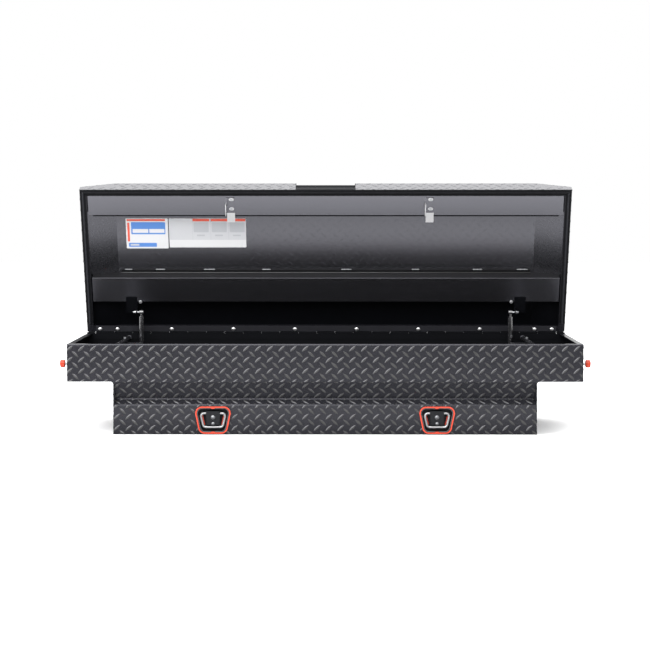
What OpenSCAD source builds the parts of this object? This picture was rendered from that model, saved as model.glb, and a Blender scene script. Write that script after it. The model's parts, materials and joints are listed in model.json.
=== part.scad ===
// Crossover tool box for a pickup bed: tread-plate body with two wings, a lid on a continuous hinge,
// gas struts, push-knob latches and ring tie-downs. The lid stands open.
// +X is right, +Y is rear, +Z is up. The origin is at the middle of the well's underside. Millimetres.

/* [Body] */
// Width over the two wings
box_w = 1816; // [1700:1:1900]
// Depth from the front face to the rear face
box_d = 580; // [540:1:640]
// Height of the rim above the well's underside
rim_z = 319; // [300:1:360]
// Width of the well between the bed rails
well_w = 1492; // [1440:1:1520]
// Height of the wings below the rim
wing_h = 133; // [125:1:150]
// Thickness of the body sheet
sheet = 2.5; // [2:0.1:3]
// Width of the flange folded in at the rim
rim_flange = 20; // [14:0.5:22]
// Drop of the flange's lip
rim_lip = 5; // [4:0.5:5.5]
// Corner radius where a wing meets the well
wing_fillet = 9; // [5:1:15]

/* [Front groove] */
// Depth of the groove folded into the front
groove_depth = 28; // [20:1:34]
// Height of the groove's deepest line
groove_z = 123; // [116:1:130]
// Height of the ledge under the groove
ledge_z = 105.5; // [103:0.5:108]

/* [Rail bolts] */
// Radius of the clamp-bolt holes in the wing floors
rail_hole_r = 5.5; // [4:0.5:8]
// Spacing of the clamp bolts from front to rear
rail_hole_y = 400; // [300:1:420]

/* [Lid] */
// Angle of the open lid
lid_open = 68; // [60:0.5:75]
// How far each end of the lid is set in from the body
lid_inset = 1; // [0:0.5:5]
// Height of the lid at its flat top
lid_h = 62; // [54:1:70]
// Height of the lid at its ends
lid_end_h = 27; // [22:1:32]
// Length of each sloped end
lid_slope_w = 124; // [100:1:160]
// Gap between the rim and the closed lid
lid_gap = 8; // [8:0.1:9]
// Thickness of the lid sheet
lid_sheet = 2.5; // [2:0.1:3]
// Width of the flange folded in round the lid
lid_flange = 25; // [22:1:28]
// Thickness of the channels inside the lid
channel_sheet = 2; // [1.5:0.1:2.5]
// Width of the front channel
front_channel_w = 77; // [70:1:90]
// Width of the rear channel
rear_channel_w = 97.5; // [80:0.5:110]
// Distance from the hinge to the rear channel
rear_channel_at = 127; // [120:1:140]
// Gap at the ends of the channels
channel_end_gap = 4; // [2:0.5:10]
// Width of the finger pull
pull_w = 221; // [180:1:260]
// Height of the lip under the finger pull
pull_lip = 19; // [14:1:22]
// Depth of the finger pull at its shelf
pull_depth = 20; // [15:0.5:21]
// Depth of the finger pull at the lid's top
pull_top_depth = 7; // [5:0.5:9]
// Width of the rim seal's base
seal_w = 21; // [10:0.5:22]
// Thickness of the rim seal's base
seal_base = 3; // [2:0.5:3.5]
// Gap left between the seal and the rim
seal_gap = 0.5; // [0.3:0.1:1]

/* [Hinge] */
// Distance of the hinge's ends from the lid's ends
hinge_end = 33; // [25:1:50]
// Radius of the hinge pin
pin_r = 2; // [1.5:0.1:2.2]
// Radius of the hinge knuckles
knuckle_r = 3.5; // [3.3:0.1:3.6]
// Number of knuckles, an odd number
knuckles = 25; // [15:2:35]
// Gap between knuckles
knuckle_gap = 0.6; // [0.4:0.1:1]
// Thickness of the hinge leaves
leaf_t = 1.6; // [1.4:0.1:1.8]
// Width of the lid's leaf
lid_leaf_w = 25; // [22:1:25]
// Height of the body's leaf below the rim
body_leaf_h = 22; // [18:1:24]
// Distance of the hinge bolts from the rear face
hinge_bolt_in = 11; // [10.5:0.5:13]
// Pitch of the hinge bolts
hinge_bolt_pitch = 234; // [220:1:240]
// Radius of the hinge bolts' dome heads
dome_r = 7.5; // [5:0.1:7.5]
// Radial clearance of the hinge pin
pin_clear = 0.05; // [0.02:0.01:0.09]

/* [Gas struts] */
// Distance of each strut from the well's end
strut_in = 50; // [45:1:70]
// Distance from the hinge to the upper stud
stud_from_hinge = 94; // [88:1:98]
// Drop of the upper stud below the hinge with the lid closed
stud_drop = 20; // [18:1:24]
// Distance of the lower pin from the rear face
anchor_from_rear = 45; // [40:1:60]
// Height of the lower pin
anchor_z = 116; // [105:1:120]
// Radius of the strut tube
tube_r = 10; // [9:0.1:10.5]
// Wall of the strut tube
tube_wall = 2; // [1.5:0.1:2.5]
// Length of the strut tube
tube_len = 148; // [140:1:150]
// Radius of the strut rod
rod_r = 5; // [4:0.1:5.5]
// Radius of the anchor pin
anchor_pin_r = 4; // [3:0.1:5]
// Radius of the rod's eye
eye_r = 10; // [9:0.5:11]
// Width of the strut's end fittings
fitting_w = 14; // [12:1:16]

/* [Latches] */
// Distance of each striker from the middle
striker_x = 367.5; // [340:0.5:400]
// Distance from the front face to the striker's nearer edge
striker_in = 50; // [48:1:56]
// Length of the striker from front to rear
striker_l = 41; // [38:1:46]
// Thickness of the striker
striker_t = 3; // [2:0.5:3.5]
// Depth of the striker below the closed lid
striker_h = 36; // [35:1:38]
// Drop of the latch pivot below the rim
pivot_drop = 39; // [38:1:41]
// Distance of the latch pivot from the striker
pivot_out = 16; // [15:0.5:17]
// Radius of the pivot pin
pivot_r = 4; // [3:0.1:4.5]
// Thickness of the hook
hook_t = 5; // [4:0.5:6]
// Drop of the push knobs below the rim
knob_drop = 74; // [72:1:76]
// Radius of the push knobs
knob_r = 14; // [11:0.5:16]
// Thickness of the push knobs
knob_t = 21; // [18:0.5:24]
// Gap between a push knob and the end wall
knob_gap = 13.5; // [11:0.5:17]
// Radius of the push rod
push_r = 4; // [3:0.1:4.5]
// Thickness of the latch bracket's plates
bracket_t = 3; // [2:0.5:4]

/* [Tie-downs] */
// Distance of each tie-down from the middle
tie_x = 394.5; // [340:0.5:450]
// Height of the tie-down's middle
tie_z = 51; // [50.5:0.1:52]
// Height of the frame
tie_h = 98.4; // [95:0.1:99]
// Width of the frame's corners at its top
tie_top_w = 138; // [130:1:150]
// Width of the frame's corners at its bottom
tie_bottom_w = 98; // [95:1:105]
// Corner radius of the frame
tie_corner_r = 25; // [20:1:28]
// Width of the frame's stroke
tie_stroke = 7; // [6:0.5:9]
// How far the frame stands out
tie_out = 5; // [4:0.5:6]
// Depth of the cup
cup_depth = 26; // [24:1:30]
// Wall of the cup
cup_wall = 2.5; // [2:0.1:3]
// Radius of the ring's bar
ring_r = 4.4; // [3:0.1:4.5]
// Width of the ring's corners at its top
ring_top_w = 91; // [80:1:94]
// Width of the ring's corners at its bottom
ring_bottom_w = 68; // [60:1:70]
// Height of the ring between its bars
ring_h = 49; // [46:1:52]
// Corner radius of the ring
ring_corner_r = 11; // [10:1:15]
// Distance from the frame's top to the ring's pivot
ring_drop = 26; // [25:0.5:28]
// Depth of the ring's pivot behind the front face
ring_in = 6; // [5.5:0.5:8]

/* [Braces] */
// Radius of the brace bars
brace_r = 8; // [6:0.5:9]
// Drop of the brace bars below the rim
brace_drop = 16; // [16:0.5:20]
// Radius of the brace bars' end discs
brace_disc_r = 10; // [9:0.5:10.5]
// Length of the tab on each brace bar
tab_l = 69; // [60:1:72]
// Distance of the tabs from the rear face
tab_from_rear = 157; // [100:1:300]

/* [Hidden] */

$fn = 48;
// Overshoot of a cutting shape
over = 1;

coat = "#3b3b3f";
coat_inside = "#2e2e31";
zinc = "#c9ccd0";
red = "#f5604a";
black = "#1c1c1e";

y_front = -box_d / 2;
y_rear = box_d / 2;
wing_z = rim_z - wing_h;
well_in = well_w / 2 - sheet;
end_in = box_w / 2 - sheet;
// The clamp bolts go through the middle of each wing
rail_hole_x = (well_w + box_w) / 4;

// Hinge axis, just behind the rear face and half way up the lid's gap
lid_w = box_w - 2 * lid_inset;
hinge_len = lid_w - 2 * hinge_end;
hinge_out = 1;
hinge_y = y_rear + hinge_out;
hinge_z = rim_z + lid_gap / 2;
knuckle_room = 0.7;
leaf_setback = knuckle_r + knuckle_room;
knuckle_pitch = hinge_len / knuckles;
pin_head_t = 2;
pin_head_r = knuckle_r - pin_clear;
// The rear sheet's upstands stay inside the circle that the closed lid's mouth is tangent to
upstand_gap = 1;
upstand_over_axis = 1.3;
upstand_h = hinge_z - rim_z + upstand_over_axis;
// Three bolts at the pitch and two nearer each end of the hinge
hinge_bolt_end = 16;
hinge_bolt_next = 82;
hinge_bolt_x = concat(
    [for (i = [0:2]) (i + 0.5) * hinge_bolt_pitch],
    [hinge_len / 2 - hinge_bolt_next, hinge_len / 2 - hinge_bolt_end]
);
hinge_bolt_y = y_rear - hinge_bolt_in;
bolt_r = 3;
bolt_clear = 0.1;
dome_h = 4;
nut_r = 5.5;
nut_h = 5;
hex_head_h = 4;

// Lid outline, drawn closed
lid_z = rim_z + lid_gap;
lid_line = [
    [lid_w / 2, lid_z + lid_end_h],
    [lid_w / 2 - lid_slope_w, lid_z + lid_h],
    [lid_slope_w - lid_w / 2, lid_z + lid_h],
    [-lid_w / 2, lid_z + lid_end_h]
];
lid_under = inner_point(lid_line, 1, lid_sheet);
lid_fall = (lid_h - lid_end_h) / lid_slope_w;
flange_half = lid_w / 2 - lid_sheet;
front_channel_y = y_front + lid_flange;
rear_channel_y = hinge_y - rear_channel_at - rear_channel_w;
channel_half = lid_w / 2 - lid_flange - channel_end_gap;
pull_sheet = 2;
pull_fit = 0.2;
// Lean of the finger pull's back wall, and the cut that clears it in the lid's top
pull_lean = atan2(pull_depth - pull_top_depth, lid_h - pull_lip - pull_sheet);
pull_cut = pull_top_depth + pull_sheet / cos(pull_lean) + lid_sheet * tan(pull_lean) + pull_fit;
seal_edge = 2;
seal_cover = 0.5;
seal_r = (lid_gap - seal_gap - seal_cover) / 2;

// Struts: upper stud drawn with the lid closed, and where it is with the lid open
strut_x = well_w / 2 - strut_in;
stud_y = hinge_y - stud_from_hinge;
stud_z = hinge_z - stud_drop;
open_stud_y = hinge_y - stud_from_hinge * cos(lid_open) - stud_drop * sin(lid_open);
open_stud_z = hinge_z + stud_from_hinge * sin(lid_open) - stud_drop * cos(lid_open);
anchor_y = y_rear - anchor_from_rear;
strut_len = norm([open_stud_y - anchor_y, open_stud_z - anchor_z]);
strut_lean = atan2(open_stud_y - anchor_y, open_stud_z - anchor_z);
fitting_r = 8;
fitting_neck = 16;
gland_len = 12;
piston_len = 10;
piston_gap = 1;
tube_top = strut_len - fitting_neck;
tube_bottom = tube_top - tube_len;
rod_len = tube_bottom + gland_len + piston_gap + piston_len;
strut_clear = 0.06;
ear_t = 3;
ear_r = 12;
stud_l = 9;
ear_x = strut_x + fitting_w / 2 + stud_l;
plate_t = 3;
plate_lap = 20;
plate_w = 42;
stud_gap = 0.4;
stud_r = 4;
cone_h = 12;
cone_r = 7;
anchor_plate = 50;
anchor_plate_t = 3;
anchor_boss_r = 9;

// Latches
striker_y = y_front + striker_in;
striker_mid_y = striker_y + striker_l / 2;
striker_base_w = 32;
striker_base_front = 18;
striker_tail_l = 38;
striker_bolt_front = 12;
striker_bolt_rear = 25;
striker_bolt_y = [striker_y - striker_bolt_front, striker_y + striker_bolt_rear];
striker_bolt_x = 20;
striker_bolt_r = 2.5;
window_l = striker_l / 2;
window_h = 14;
hook_nose_z = 25;
hook_nose_h = 8;
hook_nose_out = 3;
hook_tip_h = 2.7;
hook_w = 12;
hook_hub_r = 9;
window_z = rim_z - pivot_drop + hook_nose_z + hook_nose_h / 2;
pivot_x = striker_x + pivot_out;
pivot_z = rim_z - pivot_drop;
pivot_clear = 0.06;
push_z = rim_z - knob_drop;
tail_drop = pivot_z - push_z;
tail_over = 7;
push_gap = 0.5;
cheek_gap = 17;
bracket_drop = 8;
bracket_under = 12;
bracket_top = rim_z - bracket_drop;
bracket_bottom = push_z - bracket_under;
bracket_out = 30;
bracket_in = 10;
spacer_r = 7;
side_gap = 0.3;
bush_r = 8;
bush_flange_r = 13;
bush_flange_t = 1.5;
bush_len = 8;
bush_nut_r = 12;
knob_crown_r = 28;
// Grip flutes round the knob's rim
flutes = 9;
flute_r = 3;
flute_out = 1.4;

// Tie-downs
tie_outline = [
    [-tie_bottom_w / 2, -tie_h / 2], [tie_bottom_w / 2, -tie_h / 2],
    [tie_top_w / 2, tie_h / 2], [-tie_top_w / 2, tie_h / 2]
];
cup_fit = 0.2;
cup_lip = 2;
// Small stops at the middle of the frame's top and bottom, in front of the cup's lip
nub_w = 14;
nub_h = 3;
ring_pivot_z = tie_z + tie_h / 2 - ring_drop;
ring_outline = [
    [-ring_bottom_w / 2, -ring_h], [ring_bottom_w / 2, -ring_h],
    [ring_top_w / 2, 0], [-ring_top_w / 2, 0]
];
ring_end_gap = 2;
ring_pin_over = 2;
ring_bend_steps = 5;
ring_sides = 14;
ring_clear = 0.08;
retainer_w = 50;
retainer_bottom_w = 44;
retainer_h = 8;
retainer_plate_l = 40;
retainer_plate_t = 4;
retainer_out = 1.5;
tie_bolt_drop = [14, 36];
tie_bolt_head_r = [7.5, 6];
tie_bolt_head_h = 3.2;
tie_boss_r = 7;

// Braces
brace_out = 2;
brace_x = well_w / 2 + brace_out;
brace_z = rim_z - brace_drop;
brace_disc_t = 4;
tab_w = 25;
tab_t = 4;
tab_y = y_rear - tab_from_rear;
tab_end = 9;

// Bent sheets: a line of folds, thickened to its left side with mitred folds
function unit(v) = v / norm(v);
function turned(v) = [-v[1], v[0]];
function edge_normal(p, i) = turned(unit(p[(i + 1) % len(p)] - p[i]));
function mitre(a, b) = (a + b) / (1 + a * b);
function inner_point(p, i, t) =
    i == 0 ? p[0] + t * edge_normal(p, 0) :
    i == len(p) - 1 ? p[i] + t * edge_normal(p, i - 1) :
    p[i] + t * mitre(edge_normal(p, i - 1), edge_normal(p, i));
function bent_sheet(p, t) = concat(p, [for (i = [len(p) - 1:-1:0]) inner_point(p, i, t)]);

// Rounded outlines: centres of the corner arcs of an anticlockwise outline
function before(p, i) = (i + len(p) - 1) % len(p);
function arc_centre(p, i, r) = p[i] + r * mitre(edge_normal(p, before(p, i)), edge_normal(p, i));

module rounded_outline(p, r, inset = 0) {
    arc_r = r - inset;
    centres = [for (i = [0:len(p) - 1]) arc_centre(p, i, r)];
    polygon([for (i = [0:len(p) - 1])
        each [centres[i] - arc_r * edge_normal(p, before(p, i)), centres[i] - arc_r * edge_normal(p, i)]]);
    for (c = centres)
        translate(c) circle(arc_r);
}

// Points of the arc at one corner of a rounded outline
function bend_points(p, i, r, steps) =
    let (n_in = -edge_normal(p, before(p, i)), n_out = -edge_normal(p, i))
    let (start = atan2(n_in[1], n_in[0]), turn = (atan2(n_out[1], n_out[0]) - start + 360) % 360)
    [for (k = [0:steps]) arc_centre(p, i, r) + r * [cos(start + turn * k / steps), sin(start + turn * k / steps)]];

// Round bar bent along a path in X and Z
module bent_bar(path, bar_r, sides) {
    last = len(path) - 1;
    runs = [for (k = [0:last]) unit(path[min(k + 1, last)] - path[max(k - 1, 0)])];
    points = [for (k = [0:last], j = [0:sides - 1])
        let (side = path[k] + bar_r * cos(360 * j / sides) * turned(runs[k]))
        [side[0], bar_r * sin(360 * j / sides), side[1]]];
    walls = [for (k = [0:last - 1], j = [0:sides - 1])
        let (a = k * sides + j, b = k * sides + (j + 1) % sides)
        each [[a, b, b + sides], [a, b + sides, a + sides]]];
    first_cap = [for (j = [sides - 1:-1:0]) j];
    last_cap = [for (j = [0:sides - 1]) last * sides + j];
    polyhedron(points, concat(walls, [first_cap, last_cap]));
}

// Profiles drawn in Y and Z and run along X, or drawn in X and Z and run along Y
module along_x(x0, x1) {
    translate([x0, 0, 0]) rotate([90, 0, 90]) linear_extrude(x1 - x0) children();
}

module along_y(y0, y1) {
    translate([0, y1, 0]) rotate([90, 0, 0]) linear_extrude(y1 - y0) children();
}

// Block between two opposite corners
module block(low, high) {
    translate(low) cube(high - low);
}

// Rods along X and Y from one end to the other
module rod_x(x0, x1, r) {
    translate([x0, 0, 0]) rotate([0, 90, 0]) cylinder(h = x1 - x0, r = r);
}

module rod_y(y0, y1, r) {
    translate([0, y1, 0]) rotate([90, 0, 0]) cylinder(h = y1 - y0, r = r);
}

// Everything is drawn for the right side; the left side is its mirror image
module on_side(side) {
    mirror([side < 0 ? 1 : 0, 0, 0]) children();
}

// Lid pieces are drawn closed and turned open about the hinge
module on_lid() {
    translate([0, hinge_y, hinge_z]) rotate([-lid_open, 0, 0]) translate([0, -hinge_y, -hinge_z]) children();
}

// Dome-headed bolt with its head below z = 0, a shank through the stack and a nut on top
module dome_bolt(head_r, head_h, stack) {
    ball_r = (head_r * head_r + head_h * head_h) / (2 * head_h);
    intersection() {
        translate([0, 0, ball_r - head_h]) sphere(ball_r);
        translate([0, 0, -head_h]) cylinder(h = head_h, r = head_r + over);
    }
    cylinder(h = stack + nut_h, r = bolt_r);
    translate([0, 0, stack]) cylinder(h = nut_h, r = nut_r, $fn = 6);
}

// Body sheets

front_rim = [
    [y_front + rim_flange, rim_z - rim_lip],
    [y_front + rim_flange, rim_z],
    [y_front, rim_z],
    [y_front, wing_z]
];
front_folds = concat(front_rim, [
    [y_front + groove_depth, groove_z],
    [y_front, ledge_z],
    [y_front, 0]
]);

module wing_corner_fillet(y0, y1) {
    corner_x = well_w / 2;
    along_y(y0, y1) difference() {
        translate([corner_x, wing_z - wing_fillet]) square(wing_fillet);
        translate([corner_x + wing_fillet, wing_z - wing_fillet]) circle(wing_fillet);
    }
}

module front_panel() {
    color(coat) difference() {
        union() {
            along_x(-well_in, well_in) polygon(bent_sheet(front_folds, sheet));
            along_x(-end_in, end_in) polygon(bent_sheet(front_rim, sheet));
            block([-box_w / 2, y_front, wing_z], [box_w / 2, y_front + sheet, rim_z]);
            for (side = [-1, 1])
                on_side(side) wing_corner_fillet(y_front, y_front + sheet);
        }
        for (side = [-1, 1])
            translate([side * tie_x, 0, tie_z]) along_y(y_front - over, y_front + sheet + over)
                rounded_outline(tie_outline, tie_corner_r, tie_stroke);
    }
}

// Rear sheet, with an upstand that closes the lid's gap beyond each end of the hinge
module rear_panel() {
    upstand_x = hinge_len / 2 + pin_head_t + upstand_gap;
    color(coat) {
        block([-box_w / 2, y_rear - sheet, wing_z], [box_w / 2, y_rear, rim_z]);
        block([-well_in, y_rear - sheet, 0], [well_in, y_rear, wing_z]);
        for (side = [-1, 1])
            on_side(side) {
                wing_corner_fillet(y_rear - sheet, y_rear);
                block([upstand_x, y_rear - sheet, rim_z], [box_w / 2, y_rear, rim_z + upstand_h]);
            }
    }
}

module well_floor() {
    color(coat_inside) block([-well_in, y_front + sheet, 0], [well_in, y_rear - sheet, sheet]);
}

module well_wall(side) {
    color(coat) on_side(side) {
        block([well_in, y_front, 0], [well_w / 2, y_rear, wing_z]);
        block([well_in, y_front + sheet, 0], [well_w / 2, y_rear - sheet, wing_z + sheet]);
    }
}

module end_wall(side) {
    folds = [
        [box_w / 2, wing_z],
        [box_w / 2, rim_z],
        [box_w / 2 - rim_flange, rim_z],
        [box_w / 2 - rim_flange, rim_z - rim_lip]
    ];
    color(coat) on_side(side) difference() {
        union() {
            along_y(y_front + sheet, y_rear - sheet) polygon(bent_sheet([folds[0], folds[1]], sheet));
            along_y(y_front + rim_flange, y_rear - sheet) polygon(bent_sheet(folds, sheet));
        }
        translate([0, striker_mid_y, push_z]) rod_x(end_in - over, box_w / 2 + over, bush_r);
    }
}

module wing_floor(side) {
    color(coat_inside) on_side(side) difference() {
        block([well_w / 2, y_front + sheet, wing_z], [end_in, y_rear - sheet, wing_z + sheet]);
        for (y = [-1, 1])
            translate([rail_hole_x, y * rail_hole_y / 2, wing_z - over])
                cylinder(h = sheet + 2 * over, r = rail_hole_r);
    }
}

// Lid sheets

function under_lid(x) = lid_under[1] - max(0, x - lid_under[0]) * lid_fall;

// Outline of the space under the lid's top, out to a half width
module lid_inside(half) {
    polygon([
        [-half, lid_z], [half, lid_z], [half, under_lid(half)],
        lid_under, [-lid_under[0], lid_under[1]], [-half, under_lid(half)]
    ]);
}

module lid_top() {
    color(coat) on_lid() difference() {
        along_y(y_front, y_rear) polygon(bent_sheet(lid_line, lid_sheet));
        block([-pull_w / 2, y_front - over, lid_z + pull_lip],
            [pull_w / 2, y_front + pull_cut, lid_z + lid_h + over]);
    }
}

module lid_front_skirt() {
    color(coat) on_lid() difference() {
        along_y(y_front, y_front + lid_sheet) lid_inside(lid_w / 2);
        block([-pull_w / 2, y_front - over, lid_z + pull_lip],
            [pull_w / 2, y_front + lid_sheet + over, lid_z + lid_h]);
    }
}

module lid_front_flange() {
    color(coat) on_lid()
        block([-flange_half, y_front + lid_sheet, lid_z], [flange_half, y_front + lid_flange, lid_z + lid_sheet]);
}

module lid_rear_skirt() {
    color(coat) on_lid() difference() {
        union() {
            along_y(y_rear - lid_sheet, y_rear) lid_inside(lid_w / 2);
            block([-flange_half, y_rear - lid_flange, lid_z], [flange_half, y_rear, lid_z + lid_sheet]);
        }
        hinge_bolt_holes();
    }
}

module lid_end_skirt(side) {
    color(coat) on_lid() on_side(side) {
        block([lid_w / 2 - lid_sheet, y_front + lid_sheet, lid_z],
            [lid_w / 2, y_rear - lid_sheet, under_lid(lid_w / 2)]);
        block([lid_w / 2 - lid_flange, y_front + lid_flange, lid_z],
            [lid_w / 2, y_rear - lid_flange, lid_z + lid_sheet]);
    }
}

// Channel with its face at the lid's mouth and its webs standing against the lid's top
module lid_channel(y0, width) {
    difference() {
        along_y(y0, y0 + width) lid_inside(channel_half);
        block([-channel_half - over, y0 + channel_sheet, lid_z + channel_sheet],
            [channel_half + over, y0 + width - channel_sheet, lid_z + lid_h]);
    }
}

module lid_front_channel() {
    color(coat_inside) on_lid() difference() {
        lid_channel(front_channel_y, front_channel_w);
        striker_bolt_holes();
    }
}

module lid_rear_channel() {
    color(coat_inside) on_lid() lid_channel(rear_channel_y, rear_channel_w);
}

// Finger pull: a shelf on the skirt's lip, a back wall that leans out to the top, and two end walls
module lid_pull() {
    shelf_z = lid_z + pull_lip;
    top_z = lid_z + lid_h;
    back = [
        [y_front + pull_top_depth, top_z],
        [y_front + pull_depth, shelf_z + pull_sheet],
        [y_front, shelf_z + pull_sheet]
    ];
    color(black) on_lid() {
        along_x(-pull_w / 2, pull_w / 2) intersection() {
            polygon(bent_sheet(back, pull_sheet));
            translate([y_front, shelf_z]) square([lid_flange, top_z - shelf_z]);
        }
        for (side = [-1, 1])
            on_side(side) along_x(pull_w / 2 - pull_sheet, pull_w / 2) polygon(concat(back, [[y_front, top_z]]));
    }
}

// Rim seal: a flat base with a round bulb under it, along the front and both ends
module lid_seal() {
    run_x = lid_w / 2 - seal_w / 2 - seal_edge;
    run_y = y_front + seal_w / 2 + seal_edge;
    rear_y = y_rear - lid_flange - seal_w / 2;
    bulb_z = rim_z + seal_gap + seal_r;
    color(black) on_lid() {
        block([-run_x - seal_w / 2, run_y - seal_w / 2, lid_z - seal_base],
            [run_x + seal_w / 2, run_y + seal_w / 2, lid_z]);
        translate([0, run_y, bulb_z]) rod_x(-run_x, run_x, seal_r);
        for (side = [-1, 1])
            on_side(side) {
                block([run_x - seal_w / 2, run_y, lid_z - seal_base], [run_x + seal_w / 2, rear_y, lid_z]);
                translate([run_x, 0, bulb_z]) rod_y(run_y, rear_y, seal_r);
                translate([run_x, run_y, bulb_z]) sphere(seal_r);
            }
    }
}

// Hinge

module hinge_bolt_places() {
    for (x = hinge_bolt_x)
        for (side = [-1, 1])
            translate([side * x, hinge_bolt_y, lid_z - leaf_t]) children();
}

module hinge_bolt_holes() {
    hinge_bolt_places()
        translate([0, 0, -over]) cylinder(h = leaf_t + lid_sheet + 2 * over, r = bolt_r + bolt_clear);
}

// Knuckles on every second place, each joined to its leaf by a tongue
module hinge_knuckles(first, leaf_z) {
    for (i = [first:2:knuckles - 1]) {
        x0 = -hinge_len / 2 + i * knuckle_pitch + knuckle_gap / 2;
        x1 = x0 + knuckle_pitch - knuckle_gap;
        translate([0, hinge_y, hinge_z]) rod_x(x0, x1, knuckle_r);
        block([x0, hinge_y - leaf_setback - over, leaf_z], [x1, hinge_y, leaf_z + leaf_t]);
    }
}

module hinge_bore() {
    translate([0, hinge_y, hinge_z]) rod_x(-hinge_len, hinge_len, pin_r + pin_clear);
}

module hinge_body_leaf() {
    wall_y = y_rear - sheet;
    color(zinc) difference() {
        union() {
            block([-hinge_len / 2, wall_y - leaf_t, rim_z - body_leaf_h], [hinge_len / 2, wall_y, rim_z + leaf_t]);
            block([-hinge_len / 2, wall_y - leaf_t, rim_z],
                [hinge_len / 2, hinge_y - leaf_setback, rim_z + leaf_t]);
            hinge_knuckles(0, rim_z);
        }
        hinge_bore();
    }
}

module hinge_lid_leaf() {
    color(zinc) on_lid() difference() {
        union() {
            block([-hinge_len / 2, y_rear - lid_leaf_w, lid_z - leaf_t],
                [hinge_len / 2, hinge_y - leaf_setback, lid_z]);
            hinge_knuckles(1, lid_z - leaf_t);
        }
        hinge_bore();
        hinge_bolt_holes();
    }
}

module hinge_pin() {
    color(zinc) translate([0, hinge_y, hinge_z]) {
        rod_x(-hinge_len / 2 - pin_head_t, hinge_len / 2 + pin_head_t, pin_r);
        for (side = [-1, 1])
            on_side(side) rod_x(hinge_len / 2, hinge_len / 2 + pin_head_t, pin_head_r);
    }
}

module hinge_bolts() {
    color(zinc) on_lid() hinge_bolt_places() dome_bolt(dome_r, dome_h, leaf_t + lid_sheet);
}

// Gas struts

// Bracket on the rear channel, with an ear that carries the ball stud and its cone nut
module strut_bracket(side) {
    plate_y = rear_channel_y + rear_channel_w;
    color(coat_inside) on_lid() on_side(side) {
        block([ear_x, plate_y - plate_lap, lid_z - plate_t], [ear_x + plate_w, stud_y + ear_r, lid_z]);
        along_x(ear_x, ear_x + ear_t) {
            translate([stud_y - ear_r, stud_z]) square([2 * ear_r, lid_z - stud_z]);
            translate([stud_y, stud_z]) circle(ear_r);
        }
        translate([0, stud_y, stud_z]) {
            rod_x(strut_x + fitting_w / 2 + stud_gap, ear_x, stud_r);
            translate([ear_x + ear_t, 0, 0]) rotate([0, 90, 0]) cylinder(h = cone_h, r1 = cone_r, r2 = stud_r);
        }
    }
}

module strut_anchor(side) {
    color(coat_inside) on_side(side) translate([0, anchor_y, anchor_z]) {
        block([well_in - anchor_plate_t, -anchor_plate / 2, -anchor_plate / 2],
            [well_in, anchor_plate / 2, anchor_plate / 2]);
        rod_x(strut_x + fitting_w / 2 + side_gap, well_in, anchor_boss_r);
        rod_x(strut_x - fitting_w / 2 - side_gap, well_in, anchor_pin_r);
        rod_x(strut_x - fitting_w / 2 - side_gap - ear_t, strut_x - fitting_w / 2 - side_gap, fitting_r);
    }
}

// Strut pieces stand along the line from the lower pin to the upper stud
module on_strut(side) {
    on_side(side) translate([strut_x, anchor_y, anchor_z]) rotate([-strut_lean, 0, 0]) children();
}

module strut_rod(side) {
    color(zinc) on_strut(side) difference() {
        union() {
            rod_x(-fitting_w / 2, fitting_w / 2, eye_r);
            cylinder(h = rod_len, r = rod_r);
            translate([0, 0, rod_len - piston_len]) cylinder(h = piston_len, r = tube_r - tube_wall - strut_clear);
        }
        rod_x(-fitting_w, fitting_w, anchor_pin_r + strut_clear);
    }
}

module strut_tube(side) {
    color(black) on_strut(side) {
        difference() {
            translate([0, 0, tube_bottom]) cylinder(h = tube_len, r = tube_r);
            translate([0, 0, tube_bottom - over]) cylinder(h = tube_len, r = rod_r + strut_clear);
            translate([0, 0, tube_bottom + gland_len])
                cylinder(h = tube_len - gland_len - tube_wall, r = tube_r - tube_wall);
        }
        translate([0, 0, tube_top - tube_wall / 2]) cylinder(h = fitting_neck, r = rod_r);
        translate([0, 0, strut_len]) difference() {
            rod_x(-fitting_w / 2, fitting_w / 2, fitting_r);
            rod_x(0, fitting_w, stud_r + over);
        }
    }
}

// Latches

// Striker under the front channel; both strikers have their base on the same side
module striker(side) {
    x = side * striker_x;
    base_front = striker_y - striker_base_front;
    tail_y = striker_y + striker_l;
    color(zinc) on_lid() difference() {
        union() {
            block([x - striker_t / 2, striker_y, lid_z - striker_h], [x + striker_t / 2, tail_y, lid_z]);
            block([x, base_front, lid_z - plate_t], [x + striker_base_w, tail_y, lid_z]);
            block([x + striker_t, tail_y, lid_z - plate_t], [x + striker_base_w, tail_y + striker_tail_l, lid_z]);
        }
        block([x - striker_t, striker_mid_y - window_l / 2, window_z - window_h / 2],
            [x + striker_t, striker_mid_y + window_l / 2, window_z + window_h / 2]);
        striker_bolt_holes();
    }
}

module striker_bolt_places() {
    for (side = [-1, 1])
        for (y = striker_bolt_y)
            translate([side * striker_x + striker_bolt_x, y, lid_z - plate_t]) children();
}

module striker_bolt_holes() {
    striker_bolt_places()
        translate([0, 0, -over])
            cylinder(h = plate_t + channel_sheet + 2 * over, r = striker_bolt_r + bolt_clear);
}

module striker_bolts() {
    color(zinc) on_lid() striker_bolt_places() {
        translate([0, 0, -hex_head_h]) cylinder(h = hex_head_h, r = nut_r, $fn = 6);
        cylinder(h = plate_t + channel_sheet + nut_h, r = striker_bolt_r);
        translate([0, 0, plate_t + channel_sheet]) cylinder(h = nut_h, r = nut_r, $fn = 6);
    }
}

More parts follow.
